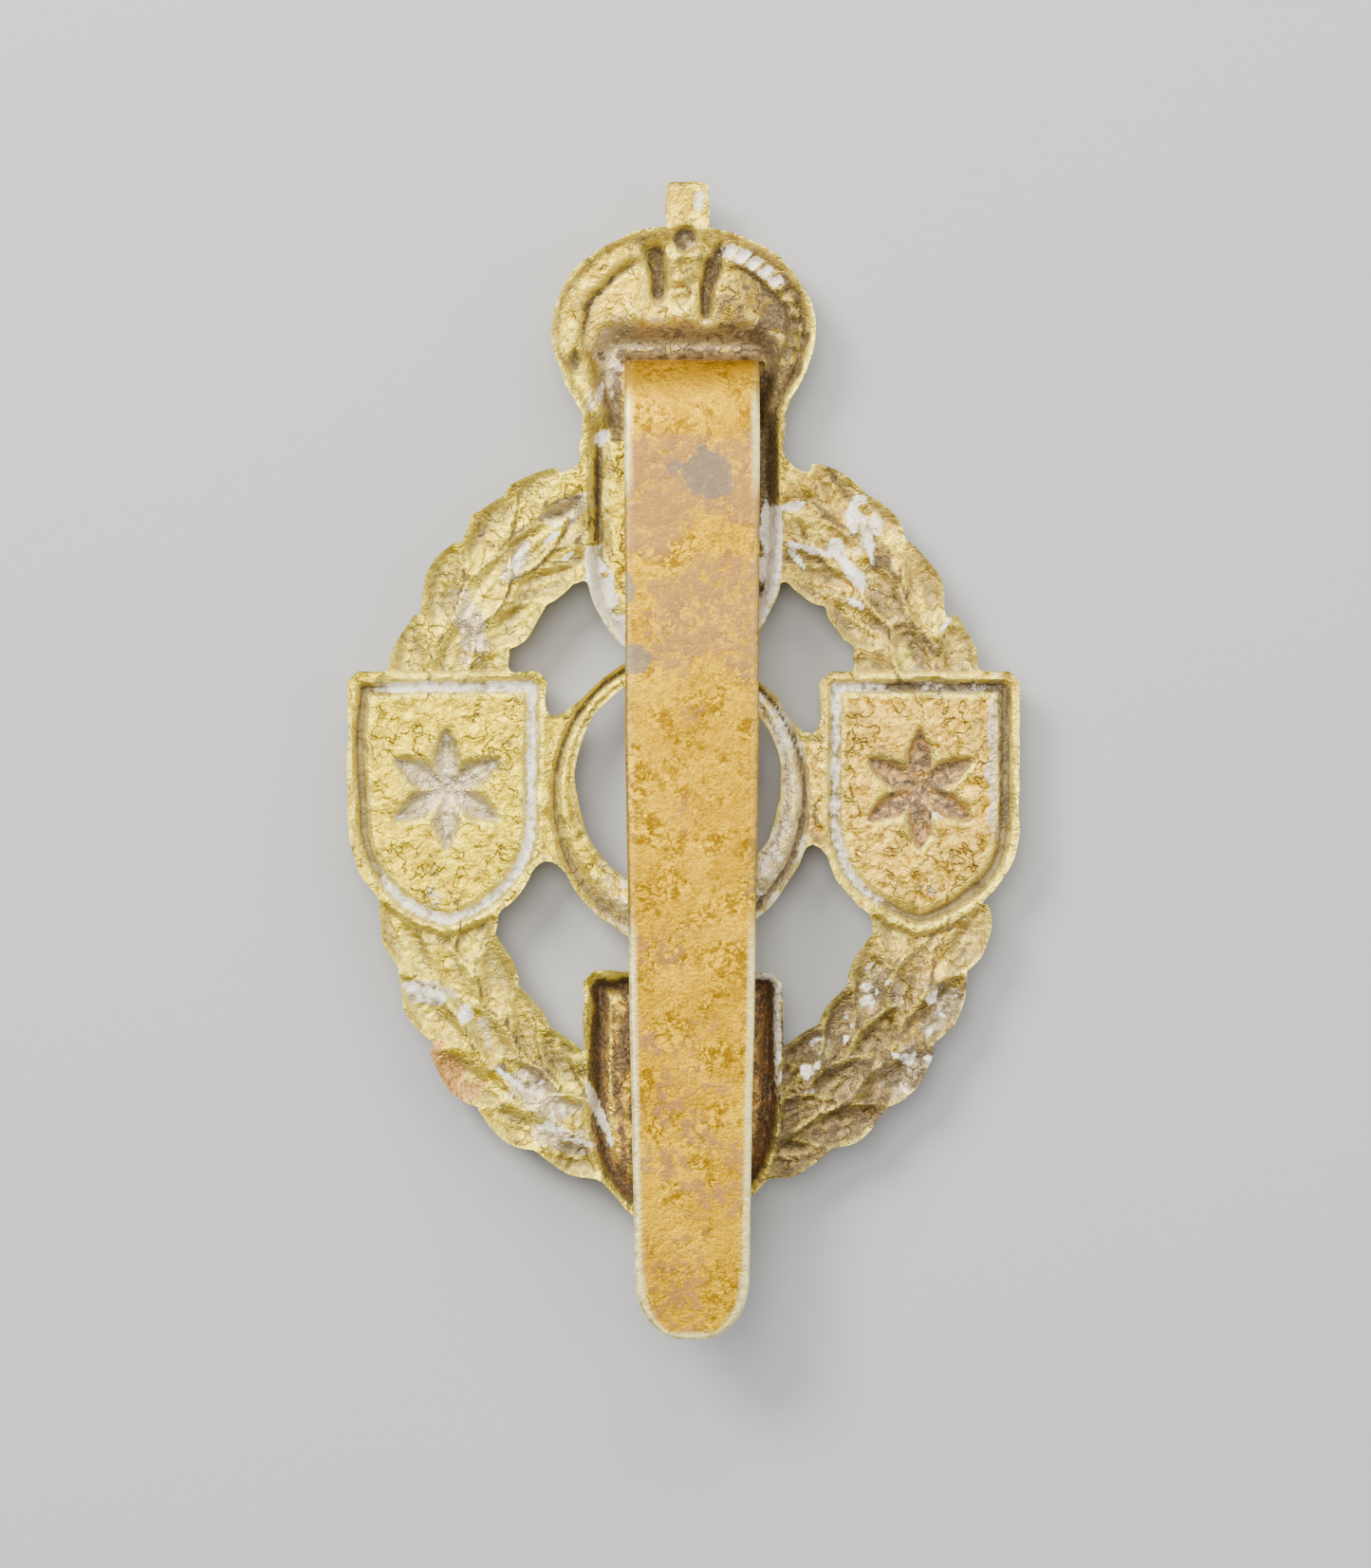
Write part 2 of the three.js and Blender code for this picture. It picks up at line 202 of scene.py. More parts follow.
def leaf_half(share):
    return LEAF_WIDE / 2 * np.sin(math.pi * np.clip(share, 0, 1) ** 0.85) ** 0.85


# -------- the struck badge's shape
def leaf_places():
    """Base point, heading and rank of every leaf, painted in this order: later ones lie on top."""
    places = []
    for height in BUNCHES:
        share = min(1.0, abs(height - WREATH_Y) / WREATH_RY)
        t = math.copysign(math.asin(share ** (WREATH_POWER / 2)), height - WREATH_Y)
        ahead = centreline(t + 0.01) - centreline(t - 0.01)
        speed = np.linalg.norm(ahead) / 0.02
        heading = math.degrees(math.atan2(ahead[0], ahead[1]))
        for turn in (-1, 1, 0):
            back = LEAF_LONG * (0.5 if turn == 0 else 0.62)
            start = centreline(t - back / speed)
            way = centreline(t + 0.01 - back / speed) - start
            way /= np.linalg.norm(way)
            x = start[0] + way[1] * LEAF_OFFSET[turn]
            y = start[1] - way[0] * LEAF_OFFSET[turn]
            for side in (-1, 1):
                places.append((side * x, y, side * (heading + LEAF_SPLAY[turn]), turn, side))
    return places


def leaf_fields():
    """Silhouette, back hollow, front relief and the edge lines of the laurel leaves."""
    outline = np.full(X.shape, FAR)
    hollow = np.full(X.shape, 0.1)
    relief = np.zeros(X.shape)
    core = np.zeros(X.shape)
    crease = np.zeros(X.shape)
    shares = np.linspace(0, 1, 13)
    rng = np.random.default_rng(5)
    for x, y, heading, turn, side in leaf_places():
        heading += rng.uniform(-3, 3)
        wide, deep = rng.uniform(0.94, 1.06), rng.uniform(0.85, 1.15)
        a = math.radians(heading)
        along, across = np.array([math.sin(a), math.cos(a)]), np.array([math.cos(a), -math.sin(a)])
        bow = 0.28 * turn * side
        half = leaf_half(shares) * wide
        spine = bow * np.sin(math.pi * shares)
        right = (shares * LEAF_LONG)[:, None] * along + (spine + half)[:, None] * across
        left = (shares * LEAF_LONG)[:, None] * along + (spine - half)[:, None] * across
        d = distance_to(np.vstack([right, left[-2:0:-1]]) + (x, y))
        outline = np.minimum(outline, d)
        w = window(x, x, y, y, LEAF_LONG + 1)
        u = ((X[w] - x) * along[0] + (Y[w] - y) * along[1]) / LEAF_LONG
        v = (X[w] - x) * across[0] + (Y[w] - y) * across[1] - bow * np.sin(math.pi * np.clip(u, 0, 1))
        e = np.clip(np.abs(v) / np.maximum(leaf_half(u) * wide, 0.02), 0, 1)
        swell = np.sin(math.pi * np.clip(u, 0, 1) ** 0.9) ** 0.5
        veins = 0.03 * np.sin(9 * u * 2 * math.pi - np.abs(v) * 7)
        cup = 0.5 * deep * (1 - e**2.2) * swell - 0.13 * bell(v, 0.13) * swell + veins * (1 - e)
        dome = (0.42 + (0.2 if turn == 0 else 0)) * (1 - e**2) * swell - 0.12 * bell(v, 0.12) * swell + veins
        inner = step(0.06, -0.06, d[w])
        hollow[w] = hollow[w] * (1 - inner) + np.maximum(cup, 0.0) * inner
        relief[w] = np.maximum(relief[w], (0.12 + dome) * inner)
        core[w] = core[w] * (1 - inner) + (turn == 0) * (1 - e) * swell * inner
        crease[w] = np.maximum(crease[w] * (1 - inner), bell(d[w] - 0.02, 0.1) * swell)
    return outline, hollow, relief, core, crease


def rosette_field(x, y, width, reach=2.9, petals=6):
    """1 in the middle of the petals and the boss, falling to 0 at their edges."""
    r = np.hypot(X - x, Y - y)
    a = np.arctan2(X - x, Y - y)
    turn = 2 * math.pi / petals
    a = (a + turn / 2) % turn - turn / 2
    u, v = r * np.cos(a), np.abs(r * np.sin(a))
    half = width / 2 * np.sin(math.pi * np.clip(u / reach, 0, 1) ** 0.8) ** 0.8
    petal = np.where(u < reach, 1 - np.clip(v / np.maximum(half, 0.02), 0, 1.5) ** 1.6, 0)
    petal *= 1 - 0.35 * bell(v, 0.1) * (u > 0.7)
    boss = 1 - (r / 0.8) ** 2
    return np.clip(np.maximum(petal, boss * 1.1), 0, 1)


# -------- the relief, part by part
def lay(field, value, where):
    """The field with the value laid over it where the mask is 1."""
    return field * (1 - where) + value * where


def part_distances():
    """Signed distance to the outline of every part but the leaves."""
    part = {name: distance_to(shield_outline(x, top)) for name, (x, top, _, _) in SHIELDS.items()}
    part["crown"] = distance_to(crown_outline())
    half = FINIAL_HALF - FINIAL_CORNER
    stub = box_outline(FINIAL_X - half, FINIAL_FOOT, FINIAL_X + half, TOP_Y - FINIAL_CORNER)
    part["finial"] = distance_to(stub) - FINIAL_CORNER
    part["ring out"] = distance_to(ellipse_outline(*RING_OUT))
    part["ring in"] = distance_to(ellipse_outline(*RING_IN))
    tabs = [distance_to(box_outline(*tab)) for tab in RING_TABS]
    part["tab"] = np.minimum(*tabs)
    part["stem"] = distance_to(box_outline(*RING_STEM))
    around = np.linspace(0, 2 * math.pi, 145)
    part["centreline"] = distance_to(centreline(around[:-1]))
    return part


def silhouette(part, leaf_line):
    """The whole badge's outline, a little uneven as a trimmed striking is, and the wreath's own outline."""
    middle = part["centreline"]
    band = np.maximum(middle - WREATH_OUTER, -middle - WREATH_INNER)
    wreath = join(band + 0.07 * cloud(11, 2.4), leaf_line, 0.5)
    bridge = join(join(part["ring out"], part["tab"], 1.1), part["stem"], 0.8)
    solid = join(wreath, part["crown"], 1.6)
    for name in SHIELDS:
        solid = join(solid, part[name], 0.35)
        bridge = join(bridge, part[name], 0.9)
    solid = np.minimum.reduce([solid, bridge, part["finial"]])
    solid = np.maximum(solid, -part["ring in"]) + 0.038 * cloud(3, 0.75)
    solid = np.maximum(solid, np.abs(X) - WIDEST)
    return np.maximum(solid, Y - TOP_Y), wreath


def leaf_streaks(part, wreath):
    """Fine streaks that follow the wreath's course."""
    around = STREAK_TURN * np.arctan2(Y - STREAK_Y, X)
    places = np.column_stack([part["centreline"].ravel(), around.ravel()])
    streaks = sample(cloud(71, 0.4), places).reshape(X.shape)
    others = np.minimum.reduce([part["crown"], *(part[name] for name in SHIELDS)])
    streaks *= step(0.0, -0.3, wreath) * step(0.0, 0.2, others)
    return streaks


def ring_relief(part, depth, relief):
    """The middle ring with a channel along its width, and the flat tabs that join it to the shields."""
    outer, inner = part["ring out"], part["ring in"]
    across = inner / np.maximum(inner - outer, 0.05)
    in_ring = step(0.1, -0.1, outer) * step(-0.1, 0.1, inner)
    channel = step(0.5, 0.7, across) * step(0.92, 0.78, across)
    hollow = 0.12 + 0.3 * np.abs(2 * across - 0.85) ** 1.5 * step(0.95, 0.8, across) + 0.22 * channel
    depth = lay(depth, hollow, in_ring)
    relief = lay(relief, 0.6 * np.clip(1 - (2 * across - 1) ** 2, 0, 1) ** 0.6, in_ring)
    tabs = step(0.05, -0.05, np.minimum(part["tab"], part["stem"])) * (1 - in_ring) * step(0, 0.1, inner)
    return lay(depth, 0.12, tabs), relief, in_ring, across


def shield_relief(part, depth, relief):
    """Shields: outer strip, border groove, sunk field and rosette."""
    charges = np.zeros(X.shape)
    for name, (x, top, field, groove) in SHIELDS.items():
        here = step(0.04, -0.04, part[name])
        d = distance_to(shield_outline(x, top, tall=4.0)) if name == "upper" else part[name]
        wavy = d + 0.05 * cloud(20 + int(x) % 7, 1.5)
        channel = step(-0.38, -0.56, wavy) * step(-1.06, -0.86, wavy)
        if name in ("upper", "lower"):
            channel = bell(wavy + 0.72, 0.27)
        sunk = step(-0.86, -1.06, wavy)
        charge = rosette_field(x, top - ROSETTE_BELOW, 1.5)
        body = 0.06 + field * sunk + groove * channel + 0.5 * charge * sunk
        charges = np.maximum(charges, charge * sunk * here)
        depth = lay(depth, body, here)
        front = 0.9 * step(0, -0.35, d) + 0.3 * step(-0.3, -0.5, d) * step(-1.15, -0.95, d)
        front += 0.35 * rosette_field(x, top - ROSETTE_BELOW, 1.55)
        relief = np.where(d < 0, np.maximum(front, 0.4 * relief), relief)
    return depth, relief, charges


def crown_slots():
    """The two slots beside the crown's middle arch."""
    slots = np.zeros(X.shape)
    for sign, lean, low_end in ((-1, -0.12, 21.9), (1, 0.2, 20.9)):
        line = X - sign * 1.33 - lean * (Y - 23.2) + 0.07 * cloud(34, 1.0)
        wide = 0.34 + 0.07 * (Y - 22.5)
        slot = step(wide + 0.16, wide - 0.14, np.abs(line)) * step(low_end - 0.4, low_end + 0.5, Y)
        slots = np.maximum(slots, slot * step(24.7, 23.8, Y + 0.2 * cloud(36, 0.7)))
    return slots


def crown_hollow():
    """Depth inside the crown: beaded arch, cap, slots, lobes and the deep pocket for the slider's foot."""
    bead = np.clip(1 - (PEARL_PLACE / 0.5) ** 2 - ((CROWN_DEEP - 0.82) / 0.42) ** 2, 0, 1) ** 0.5
    edge = CROWN_DEEP + 0.1 * cloud(32, 1.1)
    cap = 0.24 + 0.3 * bead * ON_ARCH * step(-2.5, 0.5, X + 0.6 * cloud(33, 1.5))
    cap *= step(0.05, 0.3, CROWN_DEEP)
    cap += step(1.2, 1.75, edge) * (0.55 - 0.3 * bell(np.hypot(X, (Y - 22.2) * 1.2) - 2.3, 1.3))
    rails = bell(edge - 1.42, 0.15) * step(-0.6, 0.3, np.sin(CROWN_TURN)) * step(1.9, 2.9, np.abs(X))
    rails += 0.9 * bell(edge - 0.55, 0.15) * step(0.5, 0.25, CROWN_TURN) * step(-0.75, -0.4, CROWN_TURN)
    cap += 0.4 * rails
    middle = bell(X - 0.05, 1.05) ** 2 * step(20.6, 21.4, Y) * step(25.0, 24.2, Y)
    cap -= 0.3 * middle * step(1.18, 1.42, CROWN_DEEP)
    slots = crown_slots()
    cap += 0.75 * slots
    lobes = bell(X - 0.1, 0.26) * bell(Y - 23.6, 0.4) + bell(X + 0.15, 0.3) * bell(Y - 21.9, 0.28)
    lobes += bell(X - 0.5, 0.18) * bell(Y - 22.7, 0.3) - bell(X + 0.35, 0.2) * bell(Y - 22.8, 0.25)
    hooks = bell(np.hypot(X + 0.05, Y - 22.2) - 0.35, 0.09) * step(-0.3, 0.2, X + Y - 22.1)
    cap += 0.25 * lobes + 0.3 * hooks
    reach = np.hypot(np.maximum(np.abs(X) - 2.9, 0), np.maximum(Y - 18.9, 0) * 0.9)
    cap = lay(cap, RIM - FOOT_FLOOR, step(1.95, 0.75, reach) * step(0.7, 1.3, CROWN_DEEP))
    dimple = np.maximum(np.abs(X + 5.15) + 0.55 * (Y - 19.1), -(Y - 18.7))
    cap += 0.45 * step(0.42, 0.2, dimple) * step(0.3, 0.5, CROWN_DEEP)
    return cap, rails, slots, hooks


def crown_front(part, orb):
    """Relief of the crown's front: a dome with pearls, the circlet's step and the orb; and the orb alone."""
    dome = 1.6 * (1 - np.exp(-np.maximum(CROWN_DEEP, 0) / 0.55)) * step(0, 0.25, CROWN_DEEP)
    pearls = np.clip(1 - (PEARL_PLACE / 0.42) ** 2 - ((CROWN_DEEP - 1.0) / 0.34) ** 2, 0, 1)
    dome += 0.24 * np.sqrt(pearls) * ON_ARCH - 0.3 * bell(CROWN_DEEP - 1.6, 0.2) * ON_ARCH
    dome += 0.16 * step(2.1, 1.8, np.abs(Y - 18.6)) * step(5.0, 4.8, np.abs(X)) * step(0.2, 0.5, CROWN_DEEP)
    dome -= 0.22 * step(0.62, 0.5, np.abs(Y - 18.6)) * step(4.6, 4.4, np.abs(X)) * step(0.2, 0.5, CROWN_DEEP)
    ball = 1.8 * np.sqrt(np.clip(1 - (orb / 1.1) ** 2, 0, 1))
    both = np.minimum(part["crown"], part["finial"])
    return np.maximum(np.minimum(dome, 1.8), ball * step(0.0, -0.2, both)), ball


def crown_relief(part, depth, relief):
    """The crown, its orb and its finial, laid over both sides."""
    cap, rails, slots, hooks = crown_hollow()
    here = step(0.04, -0.04, part["crown"]) * step(14.8, 17.0, Y)
    depth = lay(depth, cap, here)
    stub = step(0.03, -0.03, part["finial"]) * step(25.1, 25.5, Y)
    depth = lay(depth, 0.12 + 0.1 * cloud(31, 0.9) * step(0, -0.3, part["finial"]), stub)
    orb = np.hypot(X - ORB_X, Y - ORB_Y)
    hole = 0.85 * step(0.68, 0.38, orb + 0.04 * cloud(35, 0.6)) - 0.3 * bell(orb, 0.3)
    depth = np.maximum(depth, hole)
    front, ball = crown_front(part, orb)
    relief = np.where((part["crown"] < 0) & (Y > 16.0), front, relief)
    relief = np.where(part["finial"] < 0, np.maximum(relief, ball), relief)
    marks = {"rails": rails * here, "slots": slots * here, "hooks": hooks * here, "orb": orb}
    return depth, relief, marks


def build_fields():
    """The badge's outline, the heights of its back and front, and places for the masks."""
    part = part_distances()
    leaf_line, leaf_cup, leaf_dome, leaf_core, crease = leaf_fields()
    solid, wreath = silhouette(part, leaf_line)
    crease *= step(0.0, -0.25, wreath)
    streaks = leaf_streaks(part, wreath)
    depth = np.where(wreath < 0.1, leaf_cup + 0.14 * crease, 0)
    depth += 0.045 * streaks
    relief = leaf_dome * step(0.0, -0.3, wreath)
    depth, relief, in_ring, across = ring_relief(part, depth, relief)
    depth, relief, charges = shield_relief(part, depth, relief)
    depth, relief, marks = crown_relief(part, depth, relief)

    depth = np.maximum(blur(depth, 0.055), 0)
    depth += 0.018 * cloud(41, 0.5) + 0.012 * cloud(42, 0.22)
    back = RIM - np.maximum(depth, 0.0)
    front = np.maximum(RIM - SHEET - blur(relief, 0.05), 0.0) + 0.008 * np.abs(cloud(43, 0.5))
    front = np.minimum(front, back - THINNEST)
    front = np.maximum(front, 0.0)
    zones = {name: part[name] for name in (*SHIELDS, "crown")}
    zones.update(marks, ring=in_ring, core=leaf_core, charge=charges, crease=crease, streaks=streaks)
    zones["ring line"] = in_ring * bell(across - 0.74, 0.06)
    return solid, back, front, zones


CROWN_TURN = np.arctan2(Y - CROWN_Y, X)
CROWN_DEEP = -distance_to(crown_outline(base=9.0))
PEARL_PLACE = np.mod(CROWN_TURN * (CROWN_RX + CROWN_RY) / 2 / PEARL_PITCH, 1) - 0.5
ON_ARCH = step(-0.35, -0.1, np.sin(CROWN_TURN)) * step(16.4, 18.0, Y)
solid_d, back_z, front_z, zones = build_fields()


def plan_mesh(distance, pitch):
    """Flat polygons that fill distance < 0, on a square grid with its rim drawn onto the outline."""
    gx = np.arange(xs[0], xs[-1], pitch)
    gy = np.arange(ys[0], ys[-1], pitch)
    px, py = np.meshgrid(gx, gy, indexing="ij")
    shape = px.shape
    p = np.column_stack([px.ravel(), py.ravel()])
    d = sample(distance, p)
    e = FINE
    grad = np.column_stack(
        [
            sample(distance, p + (e, 0)) - sample(distance, p - (e, 0)),
            sample(distance, p + (0, e)) - sample(distance, p - (0, e)),
        ]
    )
    grad /= np.maximum(np.linalg.norm(grad, axis=1), 1e-6)[:, None]
    near = np.abs(d) < 0.28 * pitch
    p[near] -= grad[near] * d[near, None]
    state = np.where(near, 0, np.where(d < 0, -1, 1)).reshape(shape)
    index = np.arange(p.shape[0]).reshape(shape)
    corners = [state[:-1, :-1], state[1:, :-1], state[1:, 1:], state[:-1, 1:]]
    ids = [index[:-1, :-1], index[1:, :-1], index[1:, 1:], index[:-1, 1:]]
    full = np.all([c < 1 for c in corners], axis=0) & np.any([c < 0 for c in corners], axis=0)
    faces = [tuple(f) for f in np.stack([i[full] for i in ids], -1)]
    cut = np.any([c < 0 for c in corners], axis=0) & np.any([c > 0 for c in corners], axis=0)
    extra, crossing = [], {}
    cs = np.stack([c[cut] for c in corners], -1)
    ns = np.stack([i[cut] for i in ids], -1)
    for cell_state, cell in zip(cs.tolist(), ns.tolist()):
        polygon = []
        for k in range(4):
            a, b = cell[k], cell[(k + 1) % 4]
            sa, sb = cell_state[k], cell_state[(k + 1) % 4]
            if sa < 1:
                polygon.append(a)
            if sa * sb < 0:
                key = (min(a, b), max(a, b))
                if key not in crossing:
                    crossing[key] = p.shape[0] + len(extra)
                    t = d[key[0]] / (d[key[0]] - d[key[1]])
                    extra.append(p[key[0]] * (1 - t) + p[key[1]] * t)
                polygon.append(crossing[key])
        if len(polygon) > 2:
            faces.append(tuple(polygon))
    points = np.vstack([p, np.array(extra).reshape(-1, 2)])
    used = np.unique(np.concatenate([np.array(f) for f in faces]))
    renumber = np.full(len(points), -1)
    renumber[used] = np.arange(len(used))
    return points[used], [tuple(int(renumber[v]) for v in f) for f in faces]


def make_object(name, points, faces):
    """A mesh object from points in millimetres."""
    mesh = bpy.data.meshes.new(name)
    mesh.from_pydata((points * MM).tolist(), [], faces)
    mesh.update()
    obj = bpy.data.objects.new(name, mesh)
    scene.collection.objects.link(obj)
    return obj


def shell(name, points, faces, top, bottom):
    """A closed solid over a plan mesh, from the bottom heights up to the top ones, and its rim's points."""
    n = len(points)
    edges = {}
    for f in faces:
        for a, b in zip(f, f[1:] + f[:1]):
            if (b, a) in edges:
                del edges[(b, a)]
            else:
                edges[(a, b)] = True
    rim = sorted({v for e in edges for v in e})
    place = {v: k for k, v in enumerate(rim)}
    rim_ids = np.array(rim)
    layers = [np.column_stack([points, top]), np.column_stack([points, bottom])]
    for r in range(1, WALL_ROWS):
        t = r / WALL_ROWS
        z = top[rim_ids] * (1 - t) + bottom[rim_ids] * t
        layers.append(np.column_stack([points[rim_ids], z]))
    all_faces = list(faces) + [tuple(n + v for v in reversed(f)) for f in faces]

    def level(v, r):
        if r == 0:
            return v
        if r == WALL_ROWS:
            return n + v
        return 2 * n + (r - 1) * len(rim) + place[v]

    for a, b in edges:
        for r in range(WALL_ROWS):
            all_faces.append((level(b, r), level(a, r), level(a, r + 1), level(b, r + 1)))
    return make_object(name, np.vstack(layers), all_faces), rim_ids


def put(obj, name, values):
    layer = obj.data.attributes.new(name, "FLOAT", "POINT")
    layer.data.foreach_set("value", np.asarray(values, np.float32))


def smooth(obj, angle):
    obj.data.polygons.foreach_set("use_smooth", [True] * len(obj.data.polygons))
    obj.data.set_sharp_from_angle(angle=math.radians(angle))


PITCH = 0.14
plan, plan_faces = plan_mesh(solid_d, PITCH)
striking, rim_ids = shell("striking", plan, plan_faces, sample(back_z, plan), sample(front_z, plan))
smooth(striking, 42)


# -------- wear, dirt, white residue, painted shade and painted highlights on the striking
# A blot is an ellipse: its middle, its half-sizes and its turn to the right in degrees.
# White strokes and flecks: polish residue together with painted reflections of white light.
CHALK_AND_SHEEN_STROKES = (
    (8.1, 11.6, 0.27, 0.8, 4),
    (8.4, 12.35, 0.4, 0.2, 20),
    (9.25, 11.15, 0.24, 0.5, -14),
    (8.85, 10.25, 0.22, 0.85, -12),
    (7.85, 9.15, 0.3, 1.5, -33),
    (7.3, 10.2, 0.4, 0.3, 0),
    (6.1, 9.95, 0.16, 1.1, -72),
    (5.4, 9.6, 0.14, 0.8, -35),
    (5.3, 12.05, 0.75, 0.24, -8),
    (8.2, 7.4, 0.16, 0.5, -60),
    (12.55, 6.4, 0.16, 0.5, 38),
    (-6.35, 10.5, 0.14, 0.5, 50),
    (-5.6, 9.6, 0.12, 0.5, 55),
    (-7.9, 9.6, 0.25, 0.6, 20),
    (-13.1, -10.9, 0.4, 0.28, 0),
    (-12.0, -11.2, 0.16, 0.9, -70),
    (-10.4, -12.2, 0.42, 0.5, 0),
    (-8.2, -15.4, 0.16, 0.8, -50),
    (-6.2, -17.7, 0.9, 0.16, 8),
    (-4.9, -18.3, 0.7, 0.14, 14),
    (-4.05, -16.9, 0.25, 1.5, -22),
    (5.85, -14.9, 0.25, 0.35, 0),
    (0.75, 26.5, 0.25, 0.6, 0),
    (-3.9, 15.4, 0.28, 0.45, 40),
    (-4.0, 17.4, 0.14, 0.6, 10),
)
CHALK_AND_SHEEN_FLECKS = (
    (12.6, -11.3, 0.6, 1.5, 60),
    (11.5, -12.9, 0.5, 0.9, 40),
    (11.3, -14.6, 0.9, 1.3, 45),
    (10.3, -14.0, 0.6, 0.4, 0),
    (9.3, -10.6, 0.6, 1.1, 20),
    (7.8, -13.3, 0.35, 1.0, -10),
    (6.0, -14.4, 0.8, 1.0, 0),
    (-12.3, -11.4, 1.2, 0.5, 15),
    (-6.9, -16.3, 0.8, 1.8, -52),
    (8.6, 10.9, 0.7, 1.2, 0),
)
SHADES = (
    (9.6, 9.3, 0.3, 0.7, -50),
    (4.0, 20.3, 0.55, 1.1, -20),
    (5.0, 19.0, 0.3, 1.1, 10),
    (-3.9, 19.2, 0.16, 0.2, 0),
    (0.0, 20.9, 0.3, 0.14, 0),
    (5.1, 20.9, 0.28, 0.8, -25),
    (5.6, 19.1, 0.22, 1.0, 15),
    (4.1, 21.5, 0.2, 0.8, 45),
    (-5.1, 19.0, 0.2, 0.4, 20),
    (7.5, 13.0, 0.2, 1.2, -35),
    (7.0, 11.5, 0.16, 1.3, -50),
)
ASHEN_PATCHES = (
    (-10.25, 6.4, 0.8, 1.5, -10),
    (-5.2, 12.0, 1.3, 0.6, -25),
    (-7.9, 9.7, 0.5, 1.1, 20),
    (-12.2, -11.2, 1.3, 0.5, 15),
    (-6.7, -16.2, 0.95, 2.1, -52),
    (-5.4, -18.2, 1.6, 0.6, 5),
    (12.6, -12.0, 0.8, 1.6, 40),
    (11.2, -14.5, 1.1, 0.8, 40),
    (6.6, -13.9, 0.6, 1.2, 20),
    (14.9, 0.5, 0.35, 3.4, 0),
    (11.5, 3.4, 3.2, 0.35, 0),
    (-3.7, 18.0, 0.7, 1.9, 5),
)
COPPER_PATCHES = ((-11.2, -15.1, 1.0, 2.1, -48),)
TARNISH_SPOTS = (
    (-6.2, -14.5, 1.0, 1.7, -60),
    (-5.5, -19.3, 1.0, 0.5, 0),
    (10.2, 7.0, 0.9, 1.4, 0),
    (11.2, 5.6, 1.2, 0.8, 0),
    (9.6, 9.3, 0.5, 1.4, -40),
    (4.2, 19.6, 0.9, 2.2, -10),
)


def blots(rows, rough):
    """1 inside a set of blots, with edges that the rough field frays."""
    mask = np.zeros(X.shape)
    for x, y, rx, ry, turn in rows:
        a = math.radians(turn)
        u = (X - x) * math.cos(a) - (Y - y) * math.sin(a)
        v = (X - x) * math.sin(a) + (Y - y) * math.cos(a)
        mask = np.maximum(mask, step(1.2, 0.85, np.hypot(u / rx, v / ry) + rough))
    return mask


def strongest(*masks):
    """The largest of several masks at every place."""
    return np.maximum.reduce(masks)


# Noises and places that several masks share.
PATCH = cloud(52, 1.6)
FLECK = cloud(53, 0.45)
STREAK = np.clip(2.5 * blur(cloud(59, 0.25), 0.02, 0.5), -1, 1)
NEAR_LEFT = step(0.1, -0.1, zones["left"])
NEAR_RIGHT = step(0.1, -0.1, zones["right"])
PANEL = step(0.0, -0.4, zones["lower"])
RIDGE = bell(X + 3.5, 0.13)
PETALS = step(0.15, 0.5, zones["charge"])
DENT = step(0.62, 0.42, zones["orb"])
SILVER = step(-3.5, 4.5, X - 0.6 * Y)
LOW_RIGHT = step(2.0, 4.5, X) * step(-7.5, -12.0, Y)
FROM_SLIDER = np.abs(X - 0.4)


def shield_borders():
    """The strip along the inside of every shield's edge, weaker in flecks."""
    on_shield = np.minimum.reduce([zones[name] for name in SHIELDS])
    border = step(-0.36, -0.56, on_shield) * step(-1.08, -0.88, on_shield)
    return border * step(-0.9, -0.3, FLECK) + 0.75 * border * step(-0.3, -0.9, FLECK)


def height_masks():
    """How hollow, recessed and raised each place of the back is: hollows and recesses take painted shade,
    raised places take wear with a painted highlight.
    """
    dip = blur(back_z, 0.45) - back_z
    slope = np.hypot(*np.gradient(blur(back_z, 0.06), FINE))
    in_crown = 0.15 * step(16, 18, Y) + 0.5 * bell(Y - 20.4, 0.6) * step(4.6, 3.4, np.abs(X))
    furrows = 0.7 * step(0.5, 1.5, zones["streaks"])
    crests = 0.8 * step(0.8, 1.6, -zones["streaks"])
    hollow = step(0.02, 0.3, dip) * (1 - 0.35 * step(16, 18, Y))
    recess_shade = strongest(step(0.0, 0.16, dip), 0.8 * step(0.2, 0.7, slope), furrows, in_crown)
    raised = strongest(step(0.01, 0.09, back_z - blur(back_z, 0.22)), crests)
    return hollow, recess_shade, raised


